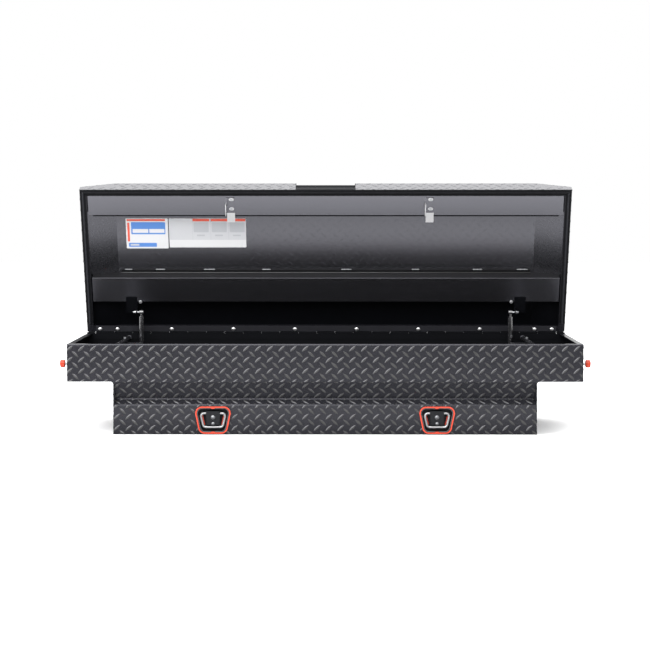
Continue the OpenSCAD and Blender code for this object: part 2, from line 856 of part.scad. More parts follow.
// Bracket welded inside the front panel: a foot, an outer side plate and two cheeks for the pivot pin
module latch_bracket(side) {
    x0 = pivot_x - bracket_in;
    x1 = pivot_x + bracket_out;
    wall_y = y_front + sheet;
    cheek_y = [striker_mid_y - cheek_gap / 2 - bracket_t, striker_mid_y + cheek_gap / 2];
    color(coat_inside) on_side(side) difference() {
        union() {
            block([x0, wall_y, bracket_bottom], [x1, wall_y + bracket_t, bracket_top]);
            block([x1 - bracket_t, wall_y, bracket_bottom], [x1, cheek_y[1] + bracket_t, bracket_top]);
            for (y = cheek_y)
                block([x0, y, bracket_bottom], [x1, y + bracket_t, bracket_top]);
        }
        translate([pivot_x, 0, pivot_z]) rod_y(cheek_y[0] - over, cheek_y[1] + bracket_t + over, pivot_r + pin_clear);
        translate([0, striker_mid_y, push_z]) rod_x(x1 - bracket_t - over, x1 + over, push_r + pivot_clear);
    }
}

module latch_pin(side) {
    reach = cheek_gap / 2 + bracket_t;
    color(zinc) on_side(side) translate([pivot_x, striker_mid_y, pivot_z]) {
        rod_y(-reach - pin_head_t, reach + pin_head_t, pivot_r);
        for (end = [-1, 1])
            mirror([0, end < 0 ? 1 : 0, 0]) {
                rod_y(reach, reach + pin_head_t, spacer_r);
                rod_y(hook_t / 2 + side_gap, cheek_gap / 2, spacer_r);
            }
    }
}

// Hook: a nose towards the striker's window, a hub on the pivot and a tail in front of the push rod
module latch_hook(side) {
    nose_x = -pivot_out - striker_t / 2 - hook_nose_out;
    color(zinc) on_side(side) translate([pivot_x, 0, pivot_z]) difference() {
        along_y(striker_mid_y - hook_t / 2, striker_mid_y + hook_t / 2) {
            translate([-hook_w / 2, -tail_drop - tail_over]) square([hook_w, tail_drop + tail_over + hook_nose_z]);
            polygon([
                [hook_w / 2, hook_nose_z], [hook_w / 2, hook_nose_z + hook_nose_h],
                [-hook_w / 2, hook_nose_z + hook_nose_h], [nose_x, hook_nose_z + hook_tip_h],
                [nose_x, hook_nose_z]
            ]);
            circle(hook_hub_r);
        }
        rod_y(striker_mid_y - hook_t, striker_mid_y + hook_t, pivot_r + pivot_clear);
    }
}

// Push rod with a round nose behind the hook's tail
module push_rod(side) {
    nose_x = pivot_x + hook_w / 2 + push_gap;
    rod_l = box_w / 2 + knob_gap + knob_t / 2 - nose_x;
    color(zinc) on_side(side) translate([nose_x, striker_mid_y, push_z]) rotate([0, 90, 0])
        rotate_extrude() intersection() {
            square([push_r, rod_l]);
            union() {
                translate([0, push_r]) circle(push_r);
                translate([0, push_r]) square([push_r, rod_l]);
            }
        }
}

// Knob with two crowned faces and grip flutes round its rim
module push_knob(side) {
    color(red) on_side(side) translate([box_w / 2 + knob_gap, striker_mid_y, push_z]) rotate([0, 90, 0])
        difference() {
            rotate_extrude() difference() {
                intersection() {
                    square([knob_r, knob_t]);
                    translate([0, knob_t - knob_crown_r]) circle(knob_crown_r);
                    translate([0, knob_crown_r]) circle(knob_crown_r);
                }
                translate([0, -over]) square([push_r + pin_clear, knob_t / 2 + over]);
            }
            for (i = [0:flutes - 1])
                rotate(360 * i / flutes) translate([knob_r + flute_out, 0, -over])
                    cylinder(h = knob_t + 2 * over, r = flute_r);
        }
}

module knob_bushings() {
    color(zinc) for (side = [-1, 1])
        on_side(side) translate([0, striker_mid_y, push_z]) difference() {
            union() {
                rod_x(box_w / 2, box_w / 2 + bush_flange_t, bush_flange_r);
                rod_x(end_in - bush_len, box_w / 2, bush_r - bolt_clear);
                translate([end_in - bush_len / 2, 0, 0]) rotate([0, 90, 0])
                    cylinder(h = bush_len / 2, r = bush_nut_r, $fn = 6);
            }
            rod_x(end_in - 2 * bush_len, box_w / 2 + bush_len, push_r + pivot_clear);
        }
}

// Tie-downs

module at_tie(side) {
    translate([side * tie_x, 0, tie_z]) children();
}

module tie_frame(side) {
    nub_z = tie_h / 2 - tie_stroke - nub_h;
    color(red) at_tie(side) {
        along_y(y_front - tie_out, y_front) difference() {
            rounded_outline(tie_outline, tie_corner_r);
            rounded_outline(tie_outline, tie_corner_r, tie_stroke);
        }
        for (end = [-1, 1])
            mirror([0, 0, end < 0 ? 1 : 0])
                block([-nub_w / 2, y_front - tie_out, nub_z],
                    [nub_w / 2, y_front - cup_lip - cup_fit, tie_h / 2 - tie_stroke / 2]);
    }
}

module tie_cup(side) {
    back_y = y_front + cup_depth;
    outer = tie_stroke + cup_fit;
    color(black) at_tie(side) difference() {
        along_y(y_front - cup_lip, back_y) rounded_outline(tie_outline, tie_corner_r, outer);
        along_y(y_front - cup_lip - over, back_y - cup_wall)
            rounded_outline(tie_outline, tie_corner_r, outer + cup_wall);
        tie_bolt_places() rod_y(cup_depth - cup_wall - over, cup_depth + over, bolt_r + bolt_clear);
    }
}

// Ring hanging from two pins in its retainer, bent from round bar
module tie_ring(side) {
    bend = [for (i = [3, 0, 1, 2]) each bend_points(ring_outline, i, ring_corner_r, ring_bend_steps)];
    bar_from = retainer_w / 2 + side_gap;
    color(zinc) translate([side * tie_x, y_front + ring_in, ring_pivot_z]) {
        bent_bar(concat([[-bar_from, 0]], bend, [[bar_from, 0]]), ring_r - ring_clear, ring_sides);
        for (end = [-1, 1])
            on_side(end) rod_x(ring_end_gap / 2, bar_from + ring_pin_over, ring_r);
    }
}

// Places of the two bolts, measured from a tie-down's middle at the front face
module tie_bolt_places() {
    for (drop = tie_bolt_drop)
        translate([0, y_front, ring_pivot_z - tie_z - drop]) children();
}

// Retainer: a block bored for the ring's top bar and a plate below it, bolted to the back of the cup
module ring_retainer(side) {
    back = cup_depth - cup_wall;
    pivot = ring_pivot_z - tie_z;
    plate = [
        [-retainer_w / 2, pivot - retainer_h], [-retainer_bottom_w / 2, pivot - retainer_plate_l],
        [retainer_bottom_w / 2, pivot - retainer_plate_l], [retainer_w / 2, pivot - retainer_h]
    ];
    color(black) at_tie(side) difference() {
        union() {
            block([-retainer_w / 2, y_front - retainer_out, pivot - retainer_h],
                [retainer_w / 2, y_front + back, pivot + retainer_h]);
            along_y(y_front - retainer_out, y_front - retainer_out + retainer_plate_t) polygon(plate);
            tie_bolt_places() rod_y(0, back, tie_boss_r);
        }
        translate([0, y_front + ring_in, pivot]) rod_x(-retainer_w, retainer_w, ring_r + ring_clear);
        tie_bolt_places() rod_y(-over - retainer_out, back + over, bolt_r + bolt_clear);
    }
}

module tie_bolts() {
    color(zinc) for (side = [-1, 1])
        for (i = [0, 1])
            translate([side * tie_x, y_front - retainer_out, ring_pivot_z - tie_bolt_drop[i]]) rotate([-90, 0, 0])
                dome_bolt(tie_bolt_head_r[i], tie_bolt_head_h, cup_depth + retainer_out);
}

// Braces

module brace(side) {
    y0 = y_front + sheet;
    y1 = y_rear - sheet - leaf_t;
    color(coat_inside) on_side(side) difference() {
        translate([brace_x, 0, brace_z]) {
            rod_y(y0, y1, brace_r);
            rod_y(y0, y0 + brace_disc_t, brace_disc_r);
            rod_y(y1 - brace_disc_t, y1, brace_disc_r);
        }
        brace_bolt_place() translate([0, 0, -over]) cylinder(h = 3 * brace_r, r = bolt_r + bolt_clear);
    }
}

// Place of a tab's bolt on the underside of its brace bar
module brace_bolt_place() {
    translate([brace_x, tab_y, brace_z - brace_r]) children();
}

module brace_tabs() {
    color(coat_inside) for (side = [-1, 1])
        on_side(side) difference() {
            block([brace_x + tab_end - tab_l, tab_y - tab_w / 2, brace_z - brace_r - tab_t],
                [brace_x + tab_end, tab_y + tab_w / 2, brace_z - brace_r]);
            brace_bolt_place() translate([0, 0, -tab_t - over])
                cylinder(h = tab_t + 2 * over, r = bolt_r + bolt_clear);
        }
}

module brace_bolts() {
    color(zinc) for (side = [-1, 1])
        on_side(side) brace_bolt_place() translate([0, 0, -tab_t])
            dome_bolt(dome_r, dome_h, tab_t + 2 * brace_r);
}

front_panel();
rear_panel();
well_floor();
end_wall(-1);  // left_end_wall
end_wall(1);  // right_end_wall
wing_floor(-1);  // left_wing_floor
wing_floor(1);  // right_wing_floor
well_wall(-1);  // left_well_wall
well_wall(1);  // right_well_wall
lid_top();
lid_front_skirt();
lid_front_flange();
lid_rear_skirt();
lid_end_skirt(-1);  // lid_left_skirt
lid_end_skirt(1);  // lid_right_skirt
lid_front_channel();
lid_rear_channel();
lid_pull();
lid_seal();
hinge_body_leaf();
hinge_lid_leaf();
hinge_pin();
hinge_bolts();
strut_bracket(-1);  // left_strut_bracket
strut_bracket(1);  // right_strut_bracket
strut_anchor(-1);  // left_strut_anchor
strut_anchor(1);  // right_strut_anchor
strut_rod(-1);  // left_strut_rod
strut_rod(1);  // right_strut_rod
strut_tube(-1);  // left_strut_tube
strut_tube(1);  // right_strut_tube
striker(-1);  // left_striker
striker(1);  // right_striker
striker_bolts();
latch_bracket(-1);  // left_latch_bracket
latch_bracket(1);  // right_latch_bracket
latch_pin(-1);  // left_latch_pin
latch_pin(1);  // right_latch_pin
latch_hook(-1);  // left_latch_hook
latch_hook(1);  // right_latch_hook
push_rod(-1);  // left_push_rod
push_rod(1);  // right_push_rod
push_knob(-1);  // left_push_knob
push_knob(1);  // right_push_knob
knob_bushings();
tie_frame(-1);  // left_tie_frame
tie_frame(1);  // right_tie_frame
tie_cup(-1);  // left_tie_cup
tie_cup(1);  // right_tie_cup
tie_ring(-1);  // left_tie_ring
tie_ring(1);  // right_tie_ring
ring_retainer(-1);  // left_ring_retainer
ring_retainer(1);  // right_ring_retainer
tie_bolts();
brace(-1);  // left_brace
brace(1);  // right_brace
brace_tabs();
brace_bolts();
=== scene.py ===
# %% [markdown]
# # A crossover tool box for a pickup bed
# The box is made of folded tread plate with a black powder coat. Its two wings rest on the bed rails,
# and its lid stands open on gas struts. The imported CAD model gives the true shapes, and this lesson
# dresses it: rounded folds, raised lugs on every tread sheet, stitch welds, labels and finishes.

# %% Load the CAD model
import json
import math

import bmesh
import bpy
from mathutils import Matrix, Vector


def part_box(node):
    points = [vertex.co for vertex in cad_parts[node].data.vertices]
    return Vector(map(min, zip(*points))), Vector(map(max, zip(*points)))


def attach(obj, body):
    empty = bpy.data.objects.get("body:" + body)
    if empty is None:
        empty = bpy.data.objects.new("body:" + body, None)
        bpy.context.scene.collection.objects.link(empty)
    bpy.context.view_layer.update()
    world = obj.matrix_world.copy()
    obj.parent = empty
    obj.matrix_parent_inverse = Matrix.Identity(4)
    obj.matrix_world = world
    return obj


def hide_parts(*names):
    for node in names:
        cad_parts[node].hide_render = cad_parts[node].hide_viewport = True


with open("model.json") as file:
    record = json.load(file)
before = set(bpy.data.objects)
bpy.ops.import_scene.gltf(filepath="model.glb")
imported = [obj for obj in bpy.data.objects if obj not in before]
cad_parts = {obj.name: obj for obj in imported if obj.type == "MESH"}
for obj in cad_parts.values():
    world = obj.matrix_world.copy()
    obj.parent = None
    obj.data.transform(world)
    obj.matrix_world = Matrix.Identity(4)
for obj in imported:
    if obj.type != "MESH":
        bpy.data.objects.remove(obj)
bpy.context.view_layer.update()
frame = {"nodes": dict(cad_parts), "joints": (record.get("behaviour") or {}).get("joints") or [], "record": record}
nodes = frame["nodes"]
body_of_node = {
    node: body
    for body, members in frame["record"]["behaviour"]["bodies"].items()
    for node in members
}
slot_of_node = {part["node"]: part["material_slot"] for part in frame["record"]["subparts"]}

# %% [markdown]
# ## Sizes that the pieces share
# Most sizes are read from the CAD nodes' boxes, so the dressing follows the solids. The others repeat
# the CAD model's own values, in metres.

# %% Sizes of the box
sheet_t = 0.0025
front_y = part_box("well_floor")[0].y - sheet_t
rear_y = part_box("rear_panel")[1].y
deep = rear_y - front_y
rim_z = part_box("front_panel")[1].z
half_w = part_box("rear_panel")[1].x
well_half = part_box("right_well_wall")[1].x
wing_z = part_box("right_wing_floor")[0].z
groove_depth = 0.028
groove_z = 0.123
ledge_z = 0.1055
print("rim at", rim_z, "wings at", wing_z, "depth", deep)

# %% [markdown]
# The lid stands open, and a shape is hard to place on a tilted sheet. So the lid's pieces are drawn with
# the lid closed, and one matrix turns them open about the hinge. Its inverse finds the closed place.

# %% Sizes of the lid
hinge = next(joint for joint in frame["joints"] if joint["name"] == "lid_hinge")
hinge_at = Vector(hinge["pos_m"])
lid_turn = Matrix.Rotation(-math.radians(hinge["range_deg"][1]), 4, "X")
lid_open = Matrix.Translation(hinge_at) @ lid_turn @ Matrix.Translation(-hinge_at)
to_closed = lid_open.inverted()
under_lid = lid_turn.to_3x3() @ Vector((0, 0, -1))
lid_rear = lid_turn.to_3x3() @ Vector((0, 1, 0))

lid_inset = 0.001
lid_half = half_w - lid_inset
lid_gap = 0.008
lid_z = rim_z + lid_gap
lid_h = 0.062
lid_top_z = lid_z + lid_h
lid_end_h = 0.027
fall = lid_h - lid_end_h
lid_slope_w = 0.124
flat_half = lid_half - lid_slope_w
skin_z = lid_top_z - sheet_t
pull_half = 0.1105
rear_channel_in = 0.127
rear_channel_w = 0.0975
rear_channel_y = hinge_at.y - rear_channel_in - rear_channel_w
front_channel_in = 0.025
front_channel_w = 0.077
front_channel_end = front_y + front_channel_in + front_channel_w
print("lid turned open about", tuple(hinge_at))

# %% [markdown]
# ## Camera
# The photograph is taken from far away with a long lens, a little above the rim, so the sides hardly
# converge. The distance, height and tilt come from the rim, the hinge line and the lid's front edge.

# %% Camera
focal_px = 2006
frame_px = 650
camera_at = (0.039, -7.32, 0.814)
tilt_deg = 3.48
turn_deg = 0.318
camera_data = bpy.data.cameras.new("studio_camera")
camera_data.sensor_width = 36
camera_data.lens = focal_px / frame_px * camera_data.sensor_width
camera = bpy.data.objects.new("studio_camera", camera_data)
camera.location = camera_at
camera.rotation_euler = (math.radians(90 - tilt_deg), 0, math.radians(turn_deg))
bpy.context.scene.collection.objects.link(camera)
bpy.context.scene.camera = camera
print("lens", round(camera_data.lens, 1), "mm")

# %% [markdown]
# ## Materials
# Every finish is worked out from a real one. Colours are written as sRGB hex values, and one function
# turns them to the linear values that the shader needs. One small function adds a node.

# %% Helpers for nodes
def linear(hex_colour):
    channels = [int(hex_colour[i:i + 2], 16) / 255 for i in (1, 3, 5)]
    return [c / 12.92 if c <= 0.04045 else ((c + 0.055) / 1.055) ** 2.4 for c in channels] + [1.0]


def add_node(tree, kind, inputs, **settings):
    node = tree.nodes.new(kind)
    for name, value in settings.items():
        setattr(node, name, value)
    for name, value in inputs.items():
        if isinstance(value, bpy.types.NodeSocket):
            tree.links.new(value, node.inputs[name])
        else:
            node.inputs[name].default_value = value
    return node


print("middle grey in linear light:", round(linear("#808080")[0], 3))

# %% [markdown]
# Coats, plating, plastic and rubber vary in the same ways: colour drifts over centimetres, gloss changes
# from grain to grain, and the grains stand up a little. So one function makes every finish from two
# colours, a range of roughness, and its grain in millimetres, drawn coarser than it is so that it shows.

# %% A finish with mottled colour, uneven gloss and a fine relief
def coating(name, dark, light, gloss, grain_mm, relief_mm, metallic=0.0, mottle_mm=60, ior=1.5,
            cast="#ffffff"):
    material = bpy.data.materials.new(name)
    material.use_nodes = True
    tree = material.node_tree
    tree.nodes.clear()
    coords = add_node(tree, "ShaderNodeTexCoord", {})
    mottle = add_node(tree, "ShaderNodeTexNoise",
                      {"Vector": coords.outputs["Object"], "Scale": 1000 / mottle_mm, "Detail": 3.0})
    grain = add_node(tree, "ShaderNodeTexNoise",
                     {"Vector": coords.outputs["Object"], "Scale": 1000 / grain_mm, "Detail": 2.0})
    colour = add_node(tree, "ShaderNodeMix", {"Factor": mottle.outputs["Fac"]}, data_type="RGBA")
    colour.inputs[6].default_value = linear(dark)
    colour.inputs[7].default_value = linear(light)
    rough = add_node(tree, "ShaderNodeMapRange",
                     {"Value": grain.outputs["Fac"], "To Min": gloss[0], "To Max": gloss[1]})
    bump = add_node(tree, "ShaderNodeBump",
                    {"Height": grain.outputs["Fac"], "Distance": relief_mm / 1000, "Strength": 0.6})
    shader = add_node(tree, "ShaderNodeBsdfPrincipled", {
        "Base Color": colour.outputs[2], "Roughness": rough.outputs[0],
        "Metallic": metallic, "IOR": ior,
        "Specular Tint": linear(cast), "Normal": bump.outputs[0]})
    add_node(tree, "ShaderNodeOutputMaterial", {"Surface": shader.outputs[0]})
    return material


# %% [markdown]
# Powder coat is sprayed on as dust and melted in an oven, which leaves a black skin with a soft gloss
# and a fine orange peel. In a white studio it reads as charcoal, because it mirrors the walls a little.
# Paint has an IOR of about 1.5. It is raised on the sheets that mirror the lit floor, and lowered in
# the shade, until each is as bright as in the photograph.

# %% Powder coats
# Sheet between the lugs: black, with a cool sheen.
tread_coat = coating("Black powder coat on tread plate", "#19191d", "#1f1f23", (0.2, 0.3), 3, 0.03,
                     ior=1.51, cast="#f5f5ff")
# Lugs: a greyer coat as painted highlight, so the pattern shows from afar.
lug_highlight_coat = coating("Black powder coat rubbed on the lugs", "#323231", "#3d3d3c", (0.2, 0.28), 3, 0.02,
                   ior=1.68, cast="#f8f8ff")
# Plain sheet along the lid's mouth: smooth, so it mirrors the floor and reads as mid grey.
inner_coat = coating("Black powder coat on plain sheet", "#161618", "#19191b", (0.24, 0.27), 4, 0.003,
                     ior=2.44, cast="#f4f4ff")
# Floors and webs: less gloss, so they stay dark and even.
satin_coat = coating("Satin black powder coat on inner sheets", "#121214", "#161618", (0.36, 0.46),
                     4, 0.02, ior=1.42)
# The lid's skin: a clear step from grey, where it mirrors the floor, to black, where it mirrors the box.
skin_coat = coating("Black powder coat under the lid", "#141416", "#18181a", (0.2, 0.28), 4, 0.008,
                    ior=2.02, cast="#f4f4ff")
# The skin's sloped ends: the same, with a softer step, and painted a little darker as shade.
slope_coat = coating("Black powder coat under the lid's sloped ends", "#101012", "#141416", (0.24, 0.32),
                     4, 0.008, ior=2.02, cast="#f4f4ff")
# Painted shade: near-black and dull, for faces in the shade of the box and the lid, so almost no light comes back.
painted_shade_coat = coating("Powder coat darkened as painted shade", "#08090c", "#0c0d11", (0.5, 0.6), 4, 0.02,
                      ior=1.16)
# The hinge leaf on the lid: a black coat a touch lighter than the sheets beside it.
lid_leaf_coat = coating("Black coat on the lid's hinge leaf", "#29292d", "#333338", (0.36, 0.46), 3, 0.02)
print("coats:", len(bpy.data.materials))

# %% [markdown]
# The fittings are bare or plated metal. Plating comes out of its bath with a faint cloudiness of a few
# millimetres, which a small mottle gives. Metals keep the default IOR.

# %% Metals
# Strikers and dome bolts: fresh zinc with a clear seal, almost white.
striker_zinc = coating("Clear zinc plate on strikers", "#e2e2e3", "#ececec", (0.4, 0.5), 2, 0.01,
                       metallic=1.0, mottle_mm=9)
# Other bolts and pins: ordinary zinc, grey with bright glints.
zinc_plate = coating("Bright zinc plate on steel", "#b0b2b5", "#c8cacc", (0.26, 0.42), 2, 0.02,
                     metallic=1.0, mottle_mm=9)
# Strut rods: ground and polished, so they show thin sharp lines of light.
chrome = coating("Hard chrome on a ground rod", "#c4c6c9", "#d4d6d8", (0.06, 0.14), 1.5, 0.005,
                 metallic=1.0)
# Tie-down rings: satin, so the light spreads along the bar.
ring_metal = coating("Satin nickel on ring bar", "#c8c8ca", "#d4d4d4", (0.5, 0.6), 2, 0.02,
                     metallic=1.0, mottle_mm=9)
# Rivets in the tie-downs: weathered, a flat grey.
dull_zinc = coating("Dull zinc plate on rivets", "#8b8c8f", "#9d9ea0", (0.46, 0.58), 2, 0.02,
                    metallic=1.0, mottle_mm=9)
# Stitch welds: rippled metal that glints here and there.
weld_metal = coating("Bare aluminium weld", "#8f9193", "#c4c6c8", (0.3, 0.5), 3, 0.3,
                     metallic=1.0, mottle_mm=6)
print("finishes:", len(bpy.data.materials))

# %% [markdown]
# The rest is paint, plastic and rubber. Gloss enamel mirrors in long streaks on the strut tubes. Moulded
# nylon has a fine spark-eroded grain, and sponge rubber is so rough that it hardly reflects.

# %% Paint, plastic and rubber
# Strut tubes: wet-looking black with streaks of light.
tube_paint = coating("Gloss black enamel on steel tube", "#17171a", "#1d1d20", (0.14, 0.2), 5, 0.005,
                     ior=2.8)
# Tie-down frames: an orange red that stays even from every side.
signal_red = coating("Red orange powder coat", "#cf4028", "#d5482f", (0.42, 0.54), 2.5, 0.03)
# Push knobs: a deeper red with a small highlight.
knob_red = coating("Moulded red nylon", "#c73c1d", "#ce4325", (0.22, 0.32), 2.5, 0.01)
# Tie-down cups: almost black, with a bluish grey bloom.
moulded_black = coating("Moulded black nylon", "#0b0d12", "#111318", (0.45, 0.6), 1.2, 0.03, ior=1.42)
# The cup's outer edge: grey as a painted highlight.
cup_edge_highlight = coating("Moulded nylon lightened grey as painted highlight", "#5c5e61", "#6b6d70", (0.4, 0.5), 1.2, 0.03)
# Seal of the lid: dead black.
seal_rubber = coating("Black sponge rubber", "#08090c", "#0d0e12", (0.7, 0.85), 1.5, 0.1, ior=1.3)
# The seal's sides: dark grey as painted light, lighter than the top.
seal_side_light_rubber = coating("Black sponge rubber lightened grey as painted light", "#14151b", "#1c1d24", (0.55, 0.7), 1.5, 0.1)
print("finishes:", len(bpy.data.materials))

# %% [markdown]
# Label vinyl is film with its print under a clear layer, so all its fields share one soft gloss.

# %% Vinyl
vinyl_gloss = (0.3, 0.4)
vinyl_grain_mm = 6
vinyl_relief_mm = 0.01
vinyls = {
    name: coating(title, dark, light, vinyl_gloss, vinyl_grain_mm, vinyl_relief_mm)
    for name, title, dark, light in (
        ("white", "White vinyl", "#d0d0d2", "#d6d6d8"),
        ("pale", "Pale print on vinyl", "#bcbdc1", "#c3c4c7"),
        ("blue", "Blue print on vinyl", "#5080c6", "#5686cb"),
        ("red", "Red print on vinyl", "#d8503c", "#de5a45"),
        ("grey", "Grey print on vinyl", "#a9abb0", "#b1b3b7"))
}
print("vinyls:", ", ".join(vinyls))

# %% [markdown]
# A large sheet is never quite flat. The lid's skin bows by a few millimetres, which bends what it mirrors,
# so the floor's reflection fades down the lid. The bow could be modelled, but the labels lie on the flat
# skin. So the two skin coats get it as a bump: a parabola whose lowest line is below the skin's middle.

# %% Bow of the lid's skin
up_lid = lid_turn.to_3x3() @ Vector((0, -1, 0))
skin_middle = lid_open @ Vector((0, (front_channel_end + rear_channel_y) / 2, skin_z))
bow_per_metre = 0.213
skin_lowest = 0.282
slope_lowest = 0.19
for coat, lowest_at in ((skin_coat, skin_lowest), (slope_coat, slope_lowest)):
    tree = coat.node_tree
    shader = next(node for node in tree.nodes if node.type == "BSDF_PRINCIPLED")
    coords = next(node for node in tree.nodes if node.type == "TEX_COORD")
    along_lid = add_node(tree, "ShaderNodeVectorMath", {0: coords.outputs["Object"], 1: up_lid},
                         operation="DOT_PRODUCT")
    from_lowest = add_node(tree, "ShaderNodeMath",
                           {0: along_lid.outputs["Value"], 1: skin_middle.dot(up_lid) - lowest_at},
                           operation="SUBTRACT")
    squared = add_node(tree, "ShaderNodeMath",
                       {0: from_lowest.outputs[0], 1: from_lowest.outputs[0]}, operation="MULTIPLY")
    bow = add_node(tree, "ShaderNodeMath", {0: squared.outputs[0], 1: -bow_per_metre}, operation="MULTIPLY")
    bowed = add_node(tree, "ShaderNodeBump", {
        "Height": bow.outputs[0], "Distance": 1.0, "Strength": 1.0,
        "Normal": shader.inputs["Normal"].links[0].from_socket})
    tree.links.new(bowed.outputs[0], shader.inputs["Normal"])
print("bow:", bow_per_metre, "per metre")

# %% [markdown]
# The record gives every CAD node a material slot, and each slot has a finish. A few nodes that get painted shade,
# and fittings with their own plating, differ from it.

# %% Finish of each CAD node
finish_of_slot = {
    "tread_coat": tread_coat, "inner_coat": inner_coat, "zinc": zinc_plate, "rod_chrome": chrome,
    "tube_black": tube_paint, "signal_red": signal_red, "moulded_black": moulded_black,
    "seal_rubber": seal_rubber,
}
# The hinge's body leaf, the finger pull and the strut brackets get painted shade.
finish_of_node = {
    "hinge_body_leaf": painted_shade_coat, "hinge_lid_leaf": lid_leaf_coat, "hinge_bolts": striker_zinc,
    "tie_bolts": dull_zinc, "lid_pull": painted_shade_coat, "well_floor": satin_coat,
}
for side in ("left", "right"):
    finish_of_node[side + "_tie_ring"] = ring_metal
    finish_of_node[side + "_striker"] = striker_zinc
    finish_of_node[side + "_push_knob"] = knob_red
    finish_of_node[side + "_wing_floor"] = satin_coat
    finish_of_node[side + "_strut_bracket"] = painted_shade_coat
for name, node in nodes.items():
    node.data.materials.clear()
    node.data.materials.append(finish_of_node.get(name, finish_of_slot[slot_of_node[name]]))
print("nodes with their own finish:", len(finish_of_node))

# %% [markdown]
# ## From bmesh to piece
# A piece's place is in its mesh, so its object stays at the origin. Narrow faces, such as those of a
# rounded fold, are shaded smooth. Broad sheet stays flat, or the folds would bend its reflections.

# %% Make a piece
broad_face = 0.004


def make_piece(name, bm, body, material, sharp_turn=math.radians(42)):
    for face in bm.faces:
        longest = max(edge.calc_length() for edge in face.edges)
        face.smooth = face.calc_area() < broad_face * longest
    for edge in bm.edges:
        edge.smooth = edge.calc_face_angle(0.0) < sharp_turn
    mesh = bpy.data.meshes.new(name)
    bm.to_mesh(mesh)
    bm.free()
    mesh.materials.append(material)
    piece = bpy.data.objects.new(name, mesh)
    bpy.context.scene.collection.objects.link(piece)
    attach(piece, body)
    print(name, "faces", len(mesh.polygons))
    return piece


print("smooth below a width of", broad_face)

# %% [markdown]
# ## Rounded folds
# Sheet folded in a brake has a rounded corner, which catches a thin line of light along the rim and the
# groove. A bevel modifier would round every edge alike. So a copy of each CAD sheet is merged, its folds
# are bevelled with a wide radius, and its cut edges with a narrow one.

# %% A sheet with rounded folds
flat_turn = math.radians(1)
fold_turn = math.radians(15)
merge_distance = 1e-6
fold_steps = 4
edge_steps = 2
long_fold = 1


def face_width(face, edge):
    return face.calc_area() / edge.calc_length()


def round_off(bm, edges, radius, steps, clamped=False):
    if edges and radius:
        bmesh.ops.bevel(bm, geom=edges, offset=radius, segments=steps, profile=0.5, affect="EDGES",
                        material=-1, clamp_overlap=clamped)


def formed(node, fold_r, edge_r, sheet_w=0.006, clamped=True, hollow_r=0):
    bm = bmesh.new()
    bm.from_mesh(nodes[node].data)
    bmesh.ops.remove_doubles(bm, verts=bm.verts, dist=merge_distance)
    bmesh.ops.dissolve_limit(bm, angle_limit=flat_turn, verts=bm.verts, edges=bm.edges)
    sharp = [e for e in bm.edges if e.calc_face_angle(0.0) > fold_turn and e.is_convex]
    folds = [e for e in sharp if min(face_width(f, e) for f in e.link_faces) > sheet_w]
    cut = set(sharp) - set(folds)
    round_off(bm, folds, fold_r, fold_steps, clamped)
    hollow = [e for e in bm.edges if e.calc_face_angle(0.0) > fold_turn and not e.is_convex
              and e.calc_length() > long_fold and all(f.normal.y < 0 for f in e.link_faces)]
    round_off(bm, hollow, hollow_r, fold_steps, clamped)
    round_off(bm, [e for e in cut if e.is_valid], edge_r, edge_steps, True)
    material = nodes[node].data.materials[0]
    piece = make_piece(node + "_formed", bm, body_of_node[node], material)
    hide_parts(node)
    return piece


# %% [markdown]
# Each kind of piece has its own fold radius: wide on the front and the rear channel, tight on brackets.
# The rings, the hinge leaf and the seal are round already, and are only merged to shade smoothly.

# %% Sheets, channels and mouldings
cut_r = 0.0004
formed("front_panel", fold_r=0.004, edge_r=cut_r, clamped=False, hollow_r=0.004)
for sheet in ("rear_panel", "left_end_wall", "right_end_wall", "left_well_wall", "right_well_wall",
              "lid_top", "lid_front_skirt", "lid_front_flange", "lid_rear_skirt", "lid_left_skirt",
              "lid_right_skirt"):
    formed(sheet, fold_r=0.003, edge_r=cut_r)
formed("lid_rear_channel", fold_r=0.004, edge_r=cut_r)
for channel in ("lid_front_channel", "left_strut_bracket", "right_strut_bracket", "brace_tabs"):
    formed(channel, fold_r=0.0015, edge_r=cut_r)
for moulding in ("left_tie_frame", "right_tie_frame", "left_tie_cup", "right_tie_cup",
                 "left_ring_retainer", "right_ring_retainer"):
    formed(moulding, fold_r=0.0012, edge_r=0.0006)
for turned in ("left_tie_ring", "right_tie_ring", "hinge_lid_leaf", "lid_seal"):
    formed(turned, fold_r=0, edge_r=0)

# %% [markdown]
# ## Second finishes
# Some pieces have two finishes. A test chooses the faces that get the second one, by their middle and
# their normal. Where the border between the two isn't an edge yet, the faces are cut along a plane first.

# %% Helpers for second finishes
def dressed(node):
    return bpy.data.objects[node + "_formed"]


def repaint(piece, material, chosen):
    piece.data.materials.append(material)
    for face in piece.data.polygons:
        if chosen(face.center, face.normal):
            face.material_index = len(piece.data.materials) - 1
    print(piece.name, "partly in", material.name)


def split(piece, at, normal):
    bm = bmesh.new()
    bm.from_mesh(piece.data)
    bmesh.ops.bisect_plane(bm, geom=bm.verts[:] + bm.edges[:] + bm.faces[:], plane_co=at, plane_no=normal)
    bm.to_mesh(piece.data)
    bm.free()


# %% [markdown]
# The body sheets' inner faces get painted shade, for the shade inside the box. So do the top edges of the rear and
# the left sheet, next to the lid.

# %% Inside of the body
facing_in = 0.3
facing_up = 0.6
rim_band = 0.02
for name in ("front_panel", "rear_panel", "left_end_wall", "right_end_wall"):
    node_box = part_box(name)
    middle = (node_box[0] + node_box[1]) / 2
    inward = Vector((-middle.x, -middle.y, 0)).normalized()
    repaint(dressed(name), painted_shade_coat, lambda at, normal: normal.dot(inward) > facing_in)
for name in ("rear_panel", "left_end_wall"):
    repaint(dressed(name), painted_shade_coat,
            lambda at, normal: normal.z > facing_up and at.z > rim_z - rim_band)
